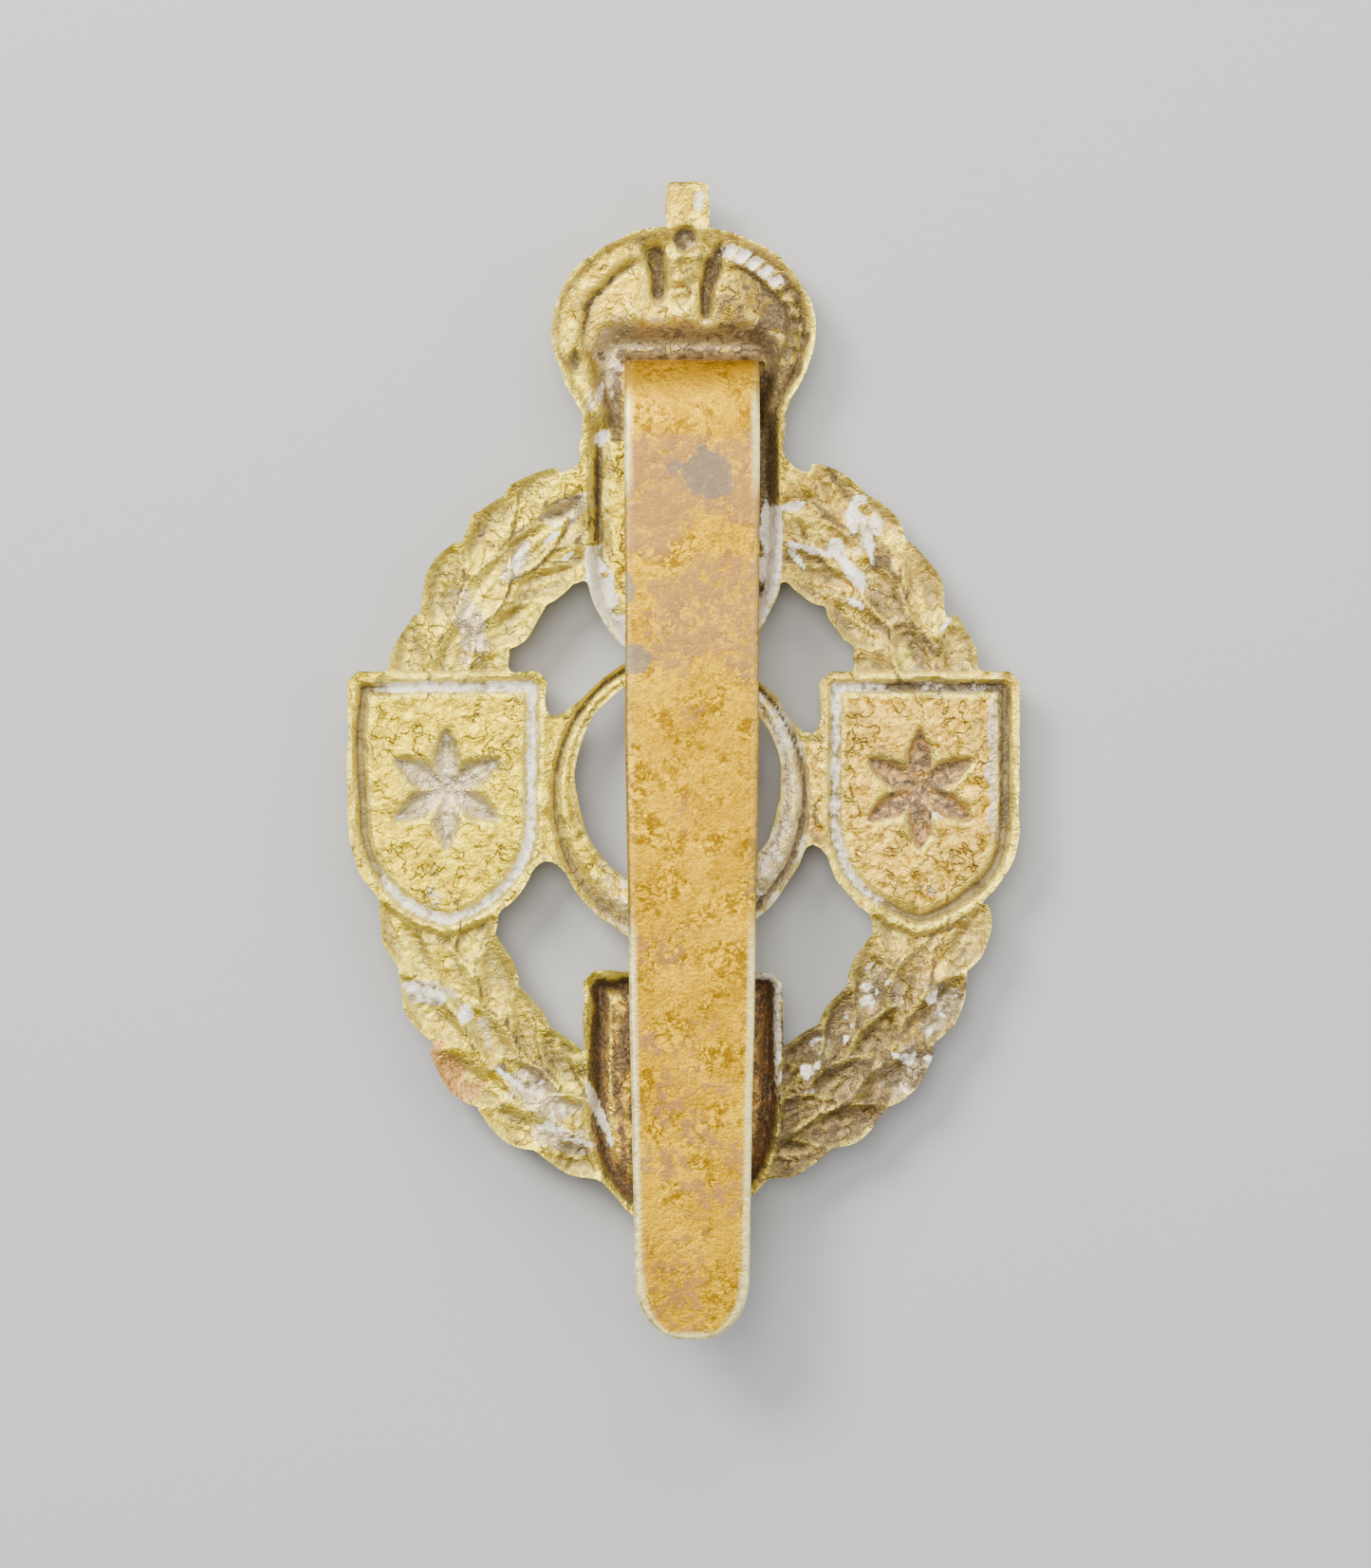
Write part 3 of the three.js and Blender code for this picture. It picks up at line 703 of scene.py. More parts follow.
def residue_and_reflection_mask(border):
    """Old metal polish dried white, together with painted reflections of white light, in the grooves, along
    edges, on the pearls and on the right rosette, in some places more than others.
    """
    upper, lower, crown = zones["upper"], zones["lower"], zones["crown"]
    groove = step(0.05, 0.26, blur(back_z, 0.3) - back_z)
    amount = 0.1 + 0.75 * NEAR_LEFT * step(-15.4, -13.8, X) + 0.6 * NEAR_RIGHT * step(10.6, 8.6, X)
    amount += 0.35 * NEAR_RIGHT * step(1.8, 2.6, Y) * step(-0.4, 0.6, PATCH)
    grooves = np.clip(amount, 0, 1) * np.clip(groove + border * (NEAR_LEFT + NEAR_RIGHT), 0, 1)
    strip = step(0.1, -0.1, upper) * step(-1.25, -0.95, upper + 0.15 * FLECK)
    strip *= step(12.8, 11.9, Y + 2.1 * (X < 0) + 0.5 * FLECK)
    wall = step(0.0, -0.1, lower) * step(-0.5, -0.35, lower) * step(2.0, 3.0, X) * step(-18.0, -15.0, Y)
    pale = 0.3 + 0.6 * step(-0.6, 1.2, 0.7 * PATCH + 0.4 * FLECK + 0.35 * np.abs(Y + 1.5) - 0.9)
    ring = zones["ring"] * pale * (0.1 + 0.7 * SILVER) * (1 - zones["ring line"])
    shine = bell(zones["charge"] - 0.25, 0.16) * step(0.1, 0.9, cloud(57, 1.6)) * NEAR_RIGHT
    strokes = blots(CHALK_AND_SHEEN_STROKES, 0.2 * FLECK)
    flecks = blots(CHALK_AND_SHEEN_FLECKS, 0.3 * FLECK) * step(-0.1, 0.9, cloud(60, 0.3))
    pearls = step(1.05, 0.8, np.abs(-crown - 0.84) / 0.4) * step(0.45, 0.37, np.abs(PEARL_PLACE))
    pearls = pearls * step(0.4, 0.48, CROWN_TURN) * step(1.18, 1.1, CROWN_TURN)
    residue_and_reflection = strongest(grooves, strip, 0.7 * wall, ring, 0.9 * shine, strokes, 0.85 * flecks, pearls)
    return residue_and_reflection * (0.85 + 0.15 * np.clip(FLECK, -1, 1))


def dirt_and_shade_mask(border):
    """Dirt in clouds, on the crown, the wreath's lower right and the lower panel, with dark blots; and
    painted shade: beside the slider, in the shields' and crown's grooves and slots, and in the creases
    between leaves.
    """
    upper, lower, crown = zones["upper"], zones["lower"], zones["crown"]
    neck = strongest(step(-0.1, -0.3, upper), step(-0.15, -0.35, crown))
    lines = step(0.1, -0.1, crown) * step(0.35, 0.8, zones["rails"] + zones["hooks"])
    return strongest(
        0.3 * step(0.5, 1.6, cloud(54, 0.9)),
        0.38 * step(0, -0.4, crown) * step(-0.4, 1.8, PATCH + 0.3 * X),
        LOW_RIGHT * (0.3 + 0.25 * np.clip(FLECK, -1, 1)),
        (0.1 + 0.5 * SILVER) * zones["ring line"],
        PANEL * (0.45 - 0.15 * step(2, 3, X) + 0.25 * STREAK) * (1 - 0.8 * RIDGE),
        # Painted shade in the lower shield's channel.
        0.72 * bell(lower + np.where(X < 0, 0.65, 0.52), np.where(X < 0, 0.24, 0.16)),
        # Painted shadow of the slider beside its right edge.
        0.72 * neck * step(3.3, 3.7, X) * step(20.0, 18.5, Y + 0.4 * FLECK),
        0.6 * NEAR_RIGHT * border * step(8.6, 10.0, X) * step(-5.0, -3.0, Y),
        # Painted shade in the upper shield's groove at its left, and painted shadow beside the slider's left
        # edge.
        0.7 * bell(X + 4.15, 0.16) * step(10.0, 10.6, Y) * step(15.2, 14.0, Y),
        0.75 * bell(X + 3.2, 0.35) * step(14.6, 15.4, Y) * step(19.0, 18.4, Y),
        # Painted shade in the crown's grooves and slots.
        (0.5 + 0.25 * step(-1, 3, X)) * lines,
        0.62 * step(0.35, 0.8, zones["slots"]),
        # Darker along the slider's bend and across the pocket beside it.
        0.8 * bell(Y - 19.35, 0.3) * step(3.9, 3.3, FROM_SLIDER),
        0.36 * bell(Y - 20.2, 0.7) * step(4.4, 3.2, FROM_SLIDER),
        0.8 * DENT * (1 - bell(np.hypot(X - 0.35, Y - 24.6), 0.28)),
        # Dark blots; then painted shade in the creases between leaves.
        0.62 * blots(SHADES, 0.35 * FLECK),
        0.62 * zones["crease"] * (1 - zones["ring"]),
        0.42 * NEAR_RIGHT * PETALS,
    )


def lilac_mask():
    """Ashen patches."""
    crown = zones["crown"]
    return strongest(
        0.6 * zones["core"] * step(0.0, 1.2, cloud(55, 1.2)),
        0.9 * blots(ASHEN_PATCHES, 0.22 * FLECK),
        0.15 * step(0, -0.3, crown) + 0.6 * bell(Y - 20.2, 0.8) * step(4.6, 3.6, np.abs(X)),
        0.7 * SILVER * zones["ring"],
        DENT,
        LOW_RIGHT * (0.3 + 0.3 * np.clip(cloud(58, 1.1), -1, 1)) * step(6.0, 9.5, X),
        (NEAR_LEFT + 0.5 * NEAR_RIGHT) * PETALS,
    )


def copper_mask():
    """Copper-red places: a patch on the wreath, the lower panel and the right rosette."""
    panel = PANEL * step(-0.3, -0.5, zones["lower"]) * (0.75 + 0.25 * STREAK)
    red = strongest(blots(COPPER_PATCHES, 0.25 * FLECK), panel)
    return strongest(red * (1 - 0.7 * RIDGE), 0.6 * NEAR_RIGHT * PETALS)


def tarnish_mask():
    """Brown tarnish: the wreath's lower right, furrows, spots, and a little on the right and the crown."""
    return strongest(
        LOW_RIGHT * (0.85 - 0.3 * step(8.0, 12.0, X + 0.8 * PATCH)),
        0.35 * step(0.6, 1.8, zones["streaks"]),
        0.72 * blots(TARNISH_SPOTS, 0.35 * FLECK),
        step(1.0, 6.0, X) * (0.09 + 0.09 * np.clip(PATCH, -1, 1)),
        0.32 * step(0, -0.5, zones["crown"]) * step(-0.5, 5.5, X + PATCH),
        0.36 * bell(Y - 20.0, 0.7) * step(4.4, 3.2, FROM_SLIDER),
    )


def striking_masks():
    hollow, recess_shade, raised = height_masks()
    border = shield_borders()
    dirt_and_shade, tarnish = dirt_and_shade_mask(border), tarnish_mask()
    # Painted highlight along the outline's edge, where light catches it; raised places are worn brighter.
    rim = step(-0.2, -0.05, solid_d + 0.07 * cloud(51, 0.6))
    warm = 0.85 * step(-2.5, 6.5, X + 1.2 * PATCH)
    return {
        "recess_shade": recess_shade,
        "tarnish": np.clip(tarnish, 0, 1),
        "hollow": hollow,
        "wear_and_highlight": np.clip((0.8 * raised + 0.7 * rim) * (1 - 0.6 * dirt_and_shade) * (1 - 0.5 * tarnish), 0, 1),
        "residue_and_reflection": np.clip(residue_and_reflection_mask(border), 0, 1),
        "warm": strongest(warm, 0.35 * step(16.0, 19.0, Y)),
        # The soil attribute carries dirt together with painted shade.
        "soil": np.clip(dirt_and_shade, 0, 1),
        "copper": np.clip(copper_mask(), 0, 1),
        "lilac": np.clip(lilac_mask(), 0, 1),
    }


def paint_striking():
    """Stores every mask on the striking; the front takes some from its own relief and others weaker."""
    low = sample(step(0.02, 0.3, front_z - blur(front_z, 0.45)), plan)
    high = sample(step(0.01, 0.1, blur(front_z, 0.25) - front_z), plan)
    own = {"hollow": low, "recess_shade": low, "wear_and_highlight": high}
    share = {"residue_and_reflection": 0.35, "soil": 0.35, "lilac": 0.35}
    for name, field in striking_masks().items():
        on_back = sample(field, plan)
        on_front = own.get(name, share.get(name, 1.0) * on_back)
        walls = np.tile(on_back[rim_ids], WALL_ROWS - 1)
        put(striking, name, np.concatenate([on_back, on_front, walls]))


paint_striking()


# -------- the slider
BEND_MIDDLE = BEND_R - THICK / 2
FLAT_LONG = BEND_Y - BEND_R - TIP_Y
HEEL_R, HEEL_Z, FOOT_LONG = 0.525, FOOT_FLOOR + 1.0, 1.25
LEG_LONG = TONGUE_Z - BEND_MIDDLE - HEEL_Z
STRIP_LONG = FLAT_LONG + BEND_MIDDLE * math.pi / 2 + LEG_LONG + HEEL_R * math.pi / 2 + FOOT_LONG
TIP_LONG, TIP_POWER = 3.1, 2.3
EDGE_ROUND = 0.2
STAINS = (  # middle, half-sizes and strength
    (1.1, 13.2, 1.6, 1.35, 1.0),
    (-0.3, 13.7, 0.7, 0.45, 0.7),
    (-2.4, 4.6, 0.85, 0.8, 1.0),
    (-2.7, 8.0, 0.45, 0.95, 0.9),
    (1.5, -21.4, 0.7, 0.6, 0.35),
)


def slider_half(y):
    """Half-width of the strip at a place along it, the rounded end included."""
    knots = (TIP_Y, -22.0, -12.7, 0.0, 15.6, 60.0)
    half = np.interp(y, knots, (2.68, 2.75, 2.93, 3.14, 3.2, 3.2))
    from_tip = np.clip((y - TIP_Y) / TIP_LONG, 0, 1)
    return half * (1 - (1 - from_tip) ** TIP_POWER) ** (1 / TIP_POWER)


def slider_path(s):
    """Middle of the strip's thickness and its outward normal, at distance s from the tip: y, z, ny, nz."""
    bend_z, back_y = TONGUE_Z - BEND_MIDDLE, BEND_Y - THICK / 2
    if s < FLAT_LONG:
        return TIP_Y + s, TONGUE_Z, 0.0, 1.0
    s -= FLAT_LONG
    if s < BEND_MIDDLE * math.pi / 2:
        a = s / BEND_MIDDLE
        y = BEND_Y - BEND_R + BEND_MIDDLE * math.sin(a)
        return y, bend_z + BEND_MIDDLE * math.cos(a), math.sin(a), math.cos(a)
    s -= BEND_MIDDLE * math.pi / 2
    if s < LEG_LONG:
        return back_y, bend_z - s, 1.0, 0.0
    s -= LEG_LONG
    if s < HEEL_R * math.pi / 2:
        a = s / HEEL_R
        y = back_y - HEEL_R + HEEL_R * math.cos(a)
        return y, HEEL_Z - HEEL_R * math.sin(a), math.cos(a), -math.sin(a)
    s -= HEEL_R * math.pi / 2
    return back_y - HEEL_R - s, HEEL_Z - HEEL_R, 0.0, -1.0


def strip_stations():
    """Distances from the tip, close together at the rounded end and along the bend."""
    ease = 0.03 + 3.0 * (1 - np.cos(np.linspace(0, math.pi / 2, 26)))
    straight = np.arange(ease[-1] + 0.2, FLAT_LONG, 0.22)
    return np.concatenate([ease, straight, np.arange(FLAT_LONG, STRIP_LONG, 0.1)])


def wander(rng, count, width):
    """A soft random line of `count` values, smoothed over `width` of them."""
    loose = rng.standard_normal(count + width - 1)
    return np.convolve(loose, np.hanning(width) / (width / 2), "valid")[:count]


def strip_faces(count, m):
    """Quads of a strip whose stations each have a row of m points above and one below."""
    faces = []
    for k in range(count - 1):
        for a in range(m - 1):
            t = 2 * k * m + a
            b = t + m
            faces.append((t, t + 2 * m, t + 2 * m + 1, t + 1))
            faces.append((b, b + 1, b + 2 * m + 1, b + 2 * m))
        for a, flip in ((0, False), (m - 1, True)):
            t, b = 2 * k * m + a, (2 * k + 1) * m + a
            quad = (t, b, b + 2 * m, t + 2 * m)
            faces.append(quad[::-1] if flip else quad)
    last = 2 * (count - 1) * m
    for a in range(m - 1):
        faces.append((a, a + 1, m + a + 1, m + a))
        faces.append((last + a, last + m + a, last + m + a + 1, last + a + 1))
    return faces


def build_slider():
    stations = strip_stations()
    sway = wander(np.random.default_rng(9), len(stations), 25)
    quarter = np.linspace(0, math.pi / 2, 15)
    across = np.concatenate([-np.cos(quarter), np.sin(quarter)[1:]])
    rows, wear_and_highlight = [], []
    for s, drift in zip(stations, sway):
        y, z, ny, nz = slider_path(s)
        half = slider_half(TIP_Y + s)
        x = across * half
        x = x + SLIDER_X + 0.03 * drift * np.sign(across) * min(1, s / 3)
        to_edge = np.minimum(half * (1 - np.abs(across)) * (0.8 if s < TIP_LONG else 1.0), s)
        near = np.maximum(EDGE_ROUND - to_edge, 0)
        drop = EDGE_ROUND - np.sqrt(np.maximum(EDGE_ROUND**2 - near**2, 0))
        # The strip's edges are brighter: rubbed wear together with a painted highlight where the rounded
        # edge catches light.
        rubbed = 0.12 + 0.88 * max(step(-7.0, -9.5, y), step(12.0, 13.5, y) * step(17.5, 16.0, y))
        for side, swell, share in ((1, 0.02 * (1 - across**2), 1), (-1, 0, 0.6)):
            n = side * (THICK / 2 + swell - drop)
            rows.append(np.column_stack([x, y + ny * n, z + nz * n]))
            wear_and_highlight.append(np.clip(1.3 - to_edge / 0.34, 0, 1) * rubbed * share)
    obj = make_object("slider", np.vstack(rows), strip_faces(len(stations), len(across)))
    smooth(obj, 50)
    put(obj, "wear_and_highlight", np.concatenate(wear_and_highlight))
    return obj


def paint_slider():
    """Brown stains and grey blotches on the slider's upper face."""
    co = np.empty(len(slider.data.vertices) * 3)
    slider.data.vertices.foreach_get("co", co)
    co = co.reshape(-1, 3) / MM
    x, y, z = co.T
    flecks = sample(cloud(61, 0.8), co[:, :2])
    big = sample(cloud(62, 1.8), co[:, :2])
    on_top = step(TONGUE_Z, TONGUE_Z + 0.2, z) * step(17.5, 16.5, y)
    stain = strongest(
        0.6 * step(9.8, 11.4, y + 0.5 * big) * step(16.2, 15.0, y + 0.4 * big),
        0.55 * step(3.8, 5.6, y + 0.7 * big) * step(10.6, 8.6, y + 0.6 * big) * step(-3, -1, x),
        0.35 * step(0.2, 1.4, big) * step(4, 2, y),
        0.42 * step(-10.5, -13.5, y + big) * step(-0.6, 0.8, flecks),
    )
    soil = np.zeros(len(co))
    for middle_x, middle_y, rx, ry, strength in STAINS:
        away = np.hypot((x - middle_x) / rx, (y - middle_y) / ry) + 0.1 * flecks
        soil = np.maximum(soil, strength * step(1.2, 0.55, away))
    put(slider, "stain", stain * on_top)
    put(slider, "soil", soil * on_top)


slider = build_slider()
paint_slider()


# -------- the braze
def build_braze():
    """A ragged fillet of brazing metal along the outside of the slider's leg."""
    along = np.linspace(-3.45, 3.45, 70)
    ragged = wander(np.random.default_rng(17), len(along), 9)
    arc = np.linspace(0, math.pi / 2, 9)
    m = len(arc) + 2
    rows = []
    for x, rough in zip(along, ragged):
        taper = min(1.0, (3.5 - abs(x)) / 0.5 + 0.15)
        reach = (0.55 + 0.13 * rough) * taper
        rise = (0.9 + 0.18 * rough) * taper
        y = BEND_Y + reach * (1 - np.sin(arc))
        z = FOOT_FLOOR + rise * (1 - np.cos(arc))
        inner = [(BEND_Y - 0.05, FOOT_FLOOR + rise), (BEND_Y - 0.05, FOOT_FLOOR + 0.01)]
        yz = np.vstack([np.column_stack([y, z]), inner])
        rows.append(np.column_stack([np.full(m, SLIDER_X + x), yz]))
    faces = []
    for k in range(len(along) - 1):
        for a in range(m):
            b = (a + 1) % m
            faces.append((k * m + a, k * m + b, (k + 1) * m + b, (k + 1) * m + a))
    faces.append(tuple(reversed(range(m))))
    faces.append(tuple((len(along) - 1) * m + a for a in range(m)))
    obj = make_object("braze", np.vstack(rows), faces)
    smooth(obj, 50)
    return obj


braze = build_braze()


# -------- materials
class Finish:
    """A small builder for procedural node materials in object space."""

    def __init__(self, name):
        self.material = bpy.data.materials.new(name)
        self.material.use_nodes = True
        self.tree = self.material.node_tree
        self.shader = self.tree.nodes["Principled BSDF"]
        self.place = self.tree.nodes.new("ShaderNodeTexCoord").outputs["Object"]

    def link(self, value, socket):
        if hasattr(value, "node"):
            self.tree.links.new(value, socket)
        else:
            socket.default_value = value

    def node(self, kind, **inputs):
        """A new node with its inputs set or linked."""
        node = self.tree.nodes.new("ShaderNode" + kind)
        for name, value in inputs.items():
            self.link(value, node.inputs[name])
        return node

    def attribute(self, name):
        node = self.node("Attribute")
        node.attribute_name = name
        return node.outputs["Fac"]

    def noise(self, size, detail=3.0, rough=0.55, distortion=0.0):
        """Noise with features about `size` millimetres across."""
        inputs = {"Detail": detail, "Roughness": rough, "Distortion": distortion}
        return self.node("TexNoise", Scale=1 / (size * MM), Vector=self.place, **inputs).outputs["Fac"]

    def cells(self, size):
        return self.node("TexVoronoi", Scale=1 / (size * MM), Vector=self.place).outputs["Distance"]

    def veins(self, size, width):
        """Thin wandering lines, 1 on the line."""
        away = self.math("SUBTRACT", self.noise(size, 3.0, 0.5, 0.4), 0.5)
        return self.remap(self.math("ABSOLUTE", away, 0.0), 0.0, width, 1.0, 0.0)

    def ragged(self, name, noise, spread):
        """A painted mask whose edges and half-tones break up along a noise."""
        broken = self.math("ADD", self.attribute(name), self.remap(noise, 0.32, 0.68, 0.0, spread))
        return self.remap(broken, 0.5, 0.85)

    def remap(self, value, low, high, out_low=0.0, out_high=1.0):
        limits = {"From Min": low, "From Max": high, "To Min": out_low, "To Max": out_high}
        node = self.node("MapRange", Value=value, **limits)
        node.interpolation_type = "SMOOTHSTEP"
        return node.outputs["Result"]

    def math(self, operation, a, b):
        node = self.node("Math")
        node.operation = operation
        node.use_clamp = operation != "SUBTRACT"
        self.link(a, node.inputs[0])
        self.link(b, node.inputs[1])
        return node.outputs["Value"]

    def times(self, a, b):
        return self.math("MULTIPLY", a, b)

    def mix(self, factor, a, b):
        node = self.node("Mix")
        node.data_type = "RGBA"
        self.link(factor, node.inputs["Factor"])
        for value, socket in ((a, node.inputs["A"]), (b, node.inputs["B"])):
            self.link(value if hasattr(value, "node") else (*value, 1.0), socket)
        return node.outputs["Result"]

    def bump(self, height, depth, normal=None):
        """A bump `depth` millimetres deep, over another one if it is given."""
        node = self.node("Bump", Strength=1.0, Distance=depth * MM, Height=height)
        if normal is not None:
            self.link(normal, node.inputs["Normal"])
        return node.outputs["Normal"]

    def finish(self, color, metallic, roughness, normal):
        inputs = {"Base Color": color, "Metallic": metallic, "Roughness": roughness, "Normal": normal}
        for name, value in inputs.items():
            self.link(value, self.shader.inputs[name])
        return self.material


def struck_finish():
    f = Finish("struck_brass")
    grain, mottle, cloudy = f.noise(0.15, 4.0, 0.65), f.noise(0.5, 4.0, 0.62, 0.6), f.noise(2.2, 3.0)
    pits = f.cells(0.34)
    pale = f.mix(f.remap(mottle, 0.36, 0.62), (0.66, 0.44, 0.0), (1.0, 0.76, 0.02))
    tan = f.mix(f.remap(mottle, 0.36, 0.62), (0.40, 0.21, 0.01), (1.0, 0.62, 0.1))
    color = f.mix(f.attribute("warm"), pale, tan)
    color = f.mix(f.remap(grain, 0.5, 0.7, 0.0, 0.65), color, (0.17, 0.11, 0.03))
    color = f.mix(f.remap(cloudy, 0.5, 0.75, 0.0, 0.3), color, (0.42, 0.31, 0.03))
    cracks = f.times(f.veins(0.9, 0.036), f.remap(f.noise(1.7, 2.0), 0.4, 0.6, 0.2, 0.9))
    color = f.mix(cracks, color, (0.14, 0.085, 0.02))
    ashen = f.ragged("lilac", mottle, 0.45)
    ash = f.mix(mottle, (0.46, 0.34, 0.27), (0.88, 0.76, 0.66))
    color = f.mix(f.times(ashen, 0.75), color, ash)
    # Painted shade in the recesses, furrows, grooves and the crown's pocket.
    recess_shade = f.attribute("recess_shade")
    recess_shade_color = f.mix(mottle, (0.24, 0.18, 0.04), (0.60, 0.50, 0.20))
    color = f.mix(f.times(recess_shade, 0.7), color, recess_shade_color)
    # Painted shade in the hollows of the relief.
    hollow_shade = f.ragged("hollow", mottle, 0.25)
    color = f.mix(f.times(hollow_shade, 0.8), color, (0.15, 0.11, 0.05))
    brown = f.mix(f.remap(mottle, 0.34, 0.64), (0.055, 0.036, 0.016), (0.24, 0.165, 0.078))
    color = f.mix(f.attribute("tarnish"), color, brown)
    # Wear on raised places together with a painted highlight along the edges.
    lit_wear = f.times(f.attribute("wear_and_highlight"), f.remap(mottle, 0.25, 0.6, 0.35, 0.9))
    color = f.mix(lit_wear, color, (1.0, 0.84, 0.12))
    red = f.mix(f.remap(grain, 0.35, 0.6), (0.30, 0.12, 0.035), (0.55, 0.26, 0.09))
    color = f.mix(f.times(f.attribute("copper"), 0.85), color, red)
    # Dirt together with painted shade in grooves, creases and beside the slider.
    soil_and_shade = f.ragged("soil", mottle, 0.5)
    mud_and_shade = f.mix(f.remap(grain, 0.4, 0.65), (0.055, 0.038, 0.018), (0.19, 0.125, 0.06))
    color = f.mix(f.times(soil_and_shade, 0.9), color, mud_and_shade)
    # Whitish residue together with painted reflections of white light.
    chalk_and_reflection = f.math("ADD", f.attribute("residue_and_reflection"), f.remap(f.noise(0.3, 3.0, 0.6), 0.32, 0.68, 0.0, 0.4))
    chalk_and_reflection = f.remap(chalk_and_reflection, 0.45, 1.0)
    white = f.mix(f.remap(mottle, 0.3, 0.55), (0.66, 0.56, 0.40), (1.0, 0.95, 0.80))
    color = f.mix(f.times(chalk_and_reflection, 0.92), color, white)
    dirt_and_shade = f.math("ADD", f.times(soil_and_shade, 0.6), f.times(hollow_shade, 0.4))
    matte = f.math("ADD", chalk_and_reflection, f.math("MAXIMUM", dirt_and_shade, f.times(recess_shade, 0.5)))
    metallic = f.remap(matte, 0.0, 1.0, 0.94, 0.1)
    dull = f.math("ADD", f.times(mottle, 0.5), f.times(dirt_and_shade, 0.5))
    normal = f.bump(f.math("SUBTRACT", mottle, f.times(pits, 0.25)), 0.1)
    normal = f.bump(f.math("SUBTRACT", grain, cracks), 0.04, normal)
    f.shader.inputs["Specular IOR Level"].default_value = 0.3
    return f.finish(color, metallic, f.remap(dull, 0.1, 0.8, 0.32, 0.7), normal)


def strip_finish():
    f = Finish("slider_brass")
    grain, mottle, cloudy = f.noise(0.13, 4.0, 0.65), f.noise(0.42, 4.0, 0.62), f.noise(3.0, 3.0)
    patches = f.remap(f.noise(1.5, 3.0, 0.6), 0.4, 0.62, 0.1, 1.0)
    color = f.mix(f.remap(cloudy, 0.38, 0.62), (0.49, 0.265, 0.0), (0.70, 0.405, 0.0))
    scribble = f.times(f.veins(0.55, 0.07), patches)
    color = f.mix(f.times(scribble, 0.95), color, (0.16, 0.08, 0.0))
    color = f.mix(f.times(f.remap(mottle, 0.46, 0.6), patches), color, (0.25, 0.125, 0.0))
    color = f.mix(f.remap(grain, 0.5, 0.66, 0.0, 0.4), color, (0.16, 0.08, 0.0))
    color = f.mix(f.remap(grain, 0.42, 0.3, 0.0, 0.6), color, (0.9, 0.58, 0.01))
    stain = f.ragged("stain", mottle, 0.45)
    color = f.mix(f.times(stain, 0.75), color, (0.40, 0.21, 0.08))
    dirt = f.ragged("soil", mottle, 0.35)
    grey = f.mix(grain, (0.10, 0.075, 0.045), (0.26, 0.19, 0.12))
    color = f.mix(f.times(dirt, 0.85), color, grey)
    # Rubbed edges with a painted highlight.
    lit_edge_wear = f.times(f.attribute("wear_and_highlight"), f.remap(mottle, 0.3, 0.6, 0.6, 1.0))
    color = f.mix(lit_edge_wear, color, (1.0, 0.92, 0.42))
    roughness = f.remap(f.math("ADD", mottle, f.times(stain, 0.3)), 0.25, 0.9, 0.36, 0.6)
    normal = f.bump(mottle, 0.045)
    normal = f.bump(grain, 0.03, normal)
    metallic = f.remap(f.math("ADD", dirt, f.times(lit_edge_wear, 0.3)), 0.0, 1.0, 1.0, 0.35)
    return f.finish(color, metallic, roughness, normal)


def braze_finish():
    f = Finish("braze")
    grain, mottle = f.noise(0.14, 4.0, 0.6), f.noise(0.5, 4.0, 0.6)
    color = f.mix(f.remap(mottle, 0.35, 0.65), (0.07, 0.04, 0.012), (0.26, 0.16, 0.06))
    color = f.mix(f.remap(grain, 0.55, 0.75, 0.0, 0.6), color, (0.5, 0.34, 0.12))
    normal = f.bump(mottle, 0.1)
    normal = f.bump(grain, 0.03, normal)
    return f.finish(color, 0.7, f.remap(mottle, 0.3, 0.7, 0.45, 0.7), normal)


for piece, material in ((striking, struck_finish()), (slider, strip_finish()), (braze, braze_finish())):
    piece.data.materials.append(material)

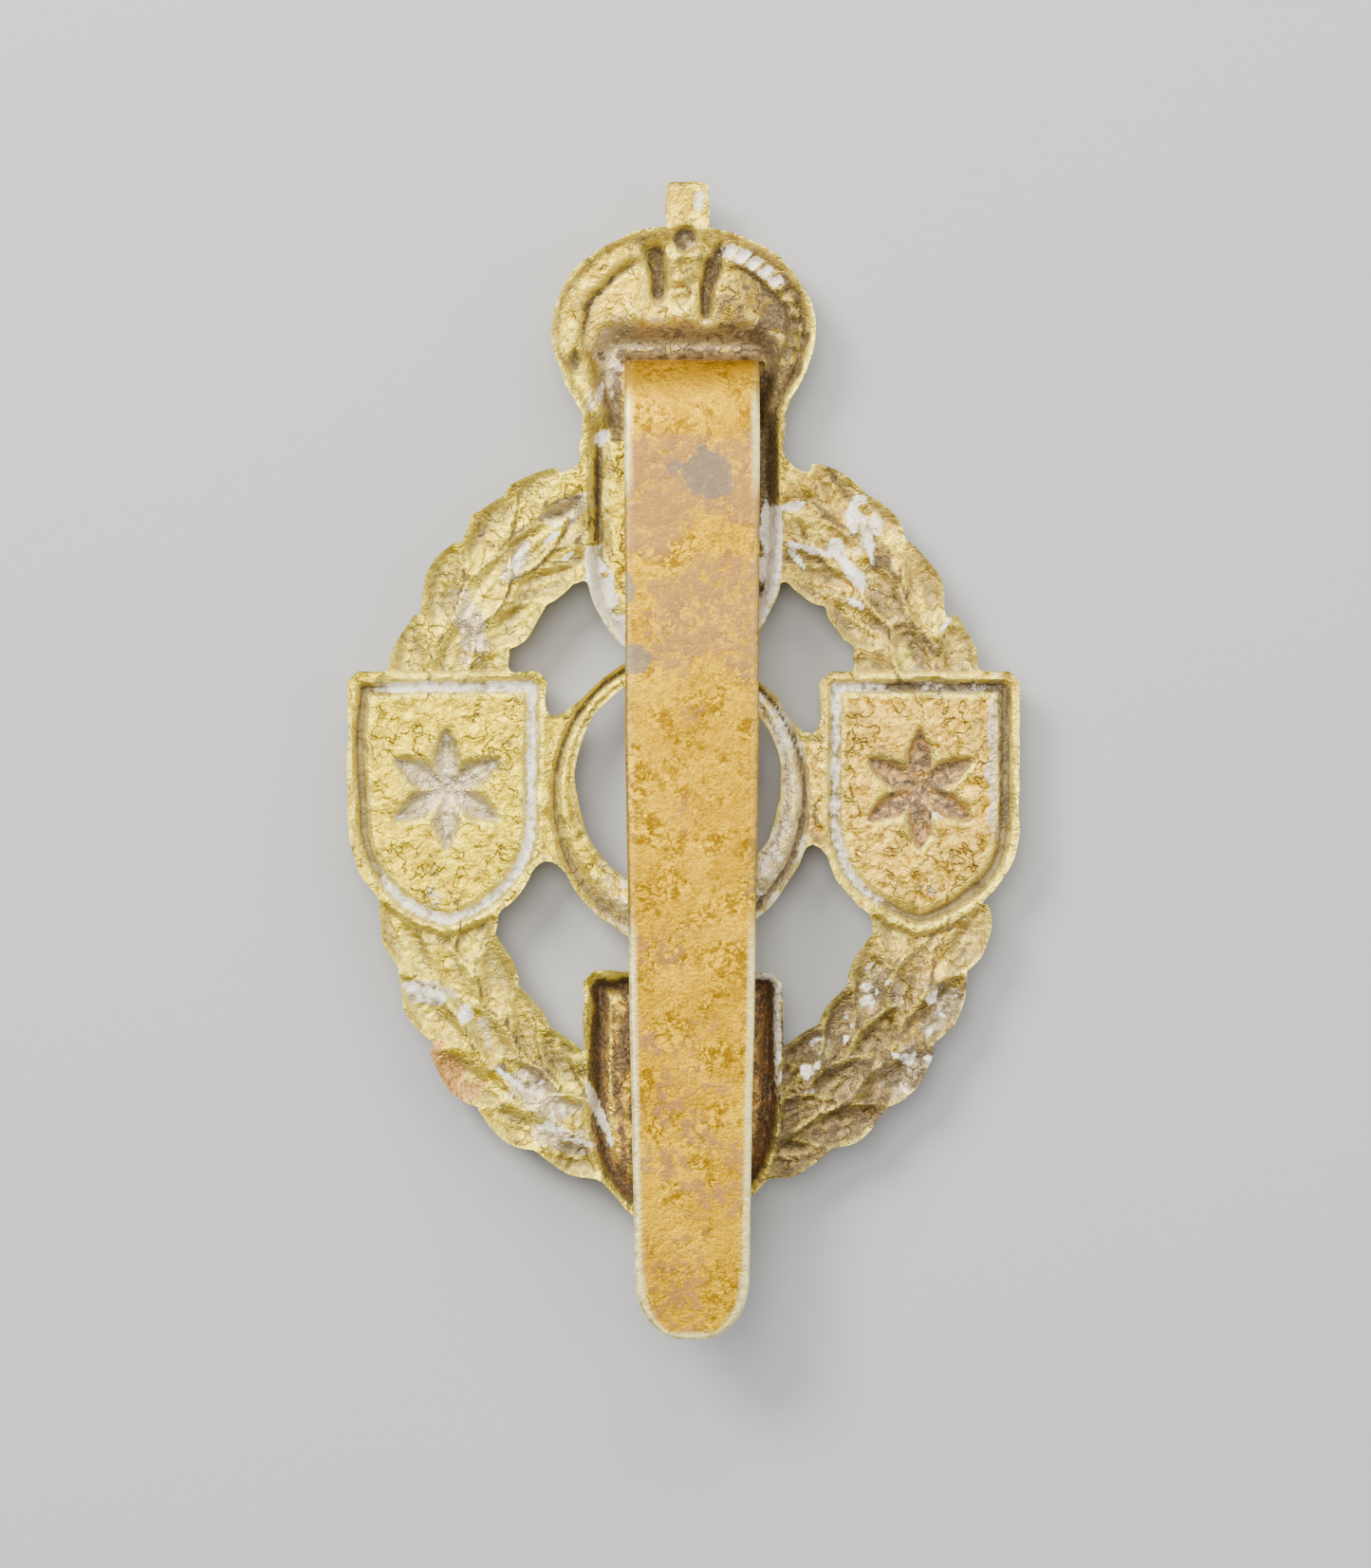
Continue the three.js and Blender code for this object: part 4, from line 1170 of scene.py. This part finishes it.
# -------- the pieces ride on the CAD
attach(striking, "badge")
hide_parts("struck_badge")
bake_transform(slider)
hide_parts("slider_foot", "slider_tongue")
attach(braze, "badge")
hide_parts("braze_fillet")

# -------- floor, light and camera
bpy.ops.mesh.primitive_plane_add(size=1.2, location=(0, 0, -0.00002))
floor = bpy.context.object
floor.name = "floor"
paper = Finish("floor")
paper.shader.inputs["Base Color"].default_value = (0.42, 0.42, 0.415, 1)
paper.shader.inputs["Roughness"].default_value = 0.9
floor.data.materials.append(paper.material)

world = bpy.data.worlds.new("studio")
scene.world = world
world.use_nodes = True
glow = world.node_tree.nodes["Background"].inputs
glow["Color"].default_value = (0.97, 0.985, 1.0, 1)
glow["Strength"].default_value = 0.32


def softbox(name, place, size, power, color):
    """A rectangular lamp that faces the badge."""
    light = bpy.data.lights.new(name, "AREA")
    light.shape = "RECTANGLE"
    light.size, light.size_y = size
    light.energy = power
    light.color = color
    obj = bpy.data.objects.new(name, light)
    obj.location = place
    obj.rotation_euler = (-Vector(place)).to_track_quat("-Z", "Y").to_euler()
    scene.collection.objects.link(obj)


softbox("top", (-0.05, 0.07, 0.42), (0.24, 0.24), 1.62, (1.0, 0.99, 0.97))
softbox("key", (-0.20, 0.20, 0.26), (0.14, 0.14), 2.15, (1.0, 0.98, 0.95))
softbox("back", (0.03, 0.30, 0.20), (0.3, 0.2), 1.2, (1.0, 0.99, 0.98))
softbox("fill", (0.30, 0.02, 0.22), (0.2, 0.3), 0.7, (0.96, 0.98, 1.0))

camera_data = bpy.data.cameras.new("camera")
camera = bpy.data.objects.new("camera", camera_data)
scene.collection.objects.link(camera)
scene.camera = camera
REACH = 280.0  # the camera's height above the floor, in millimetres
VIEW_TALL, VIEW_Z = 74.7, 3.0  # the picture's full height, and the level it is measured at
SENSOR = 24.0
camera_data.sensor_fit = "VERTICAL"
camera_data.sensor_height = SENSOR
camera_data.lens = SENSOR * (REACH - VIEW_Z) / VIEW_TALL
camera_data.clip_start = 0.01
camera.location = (0.11 * MM, -1.24 * MM, REACH * MM)
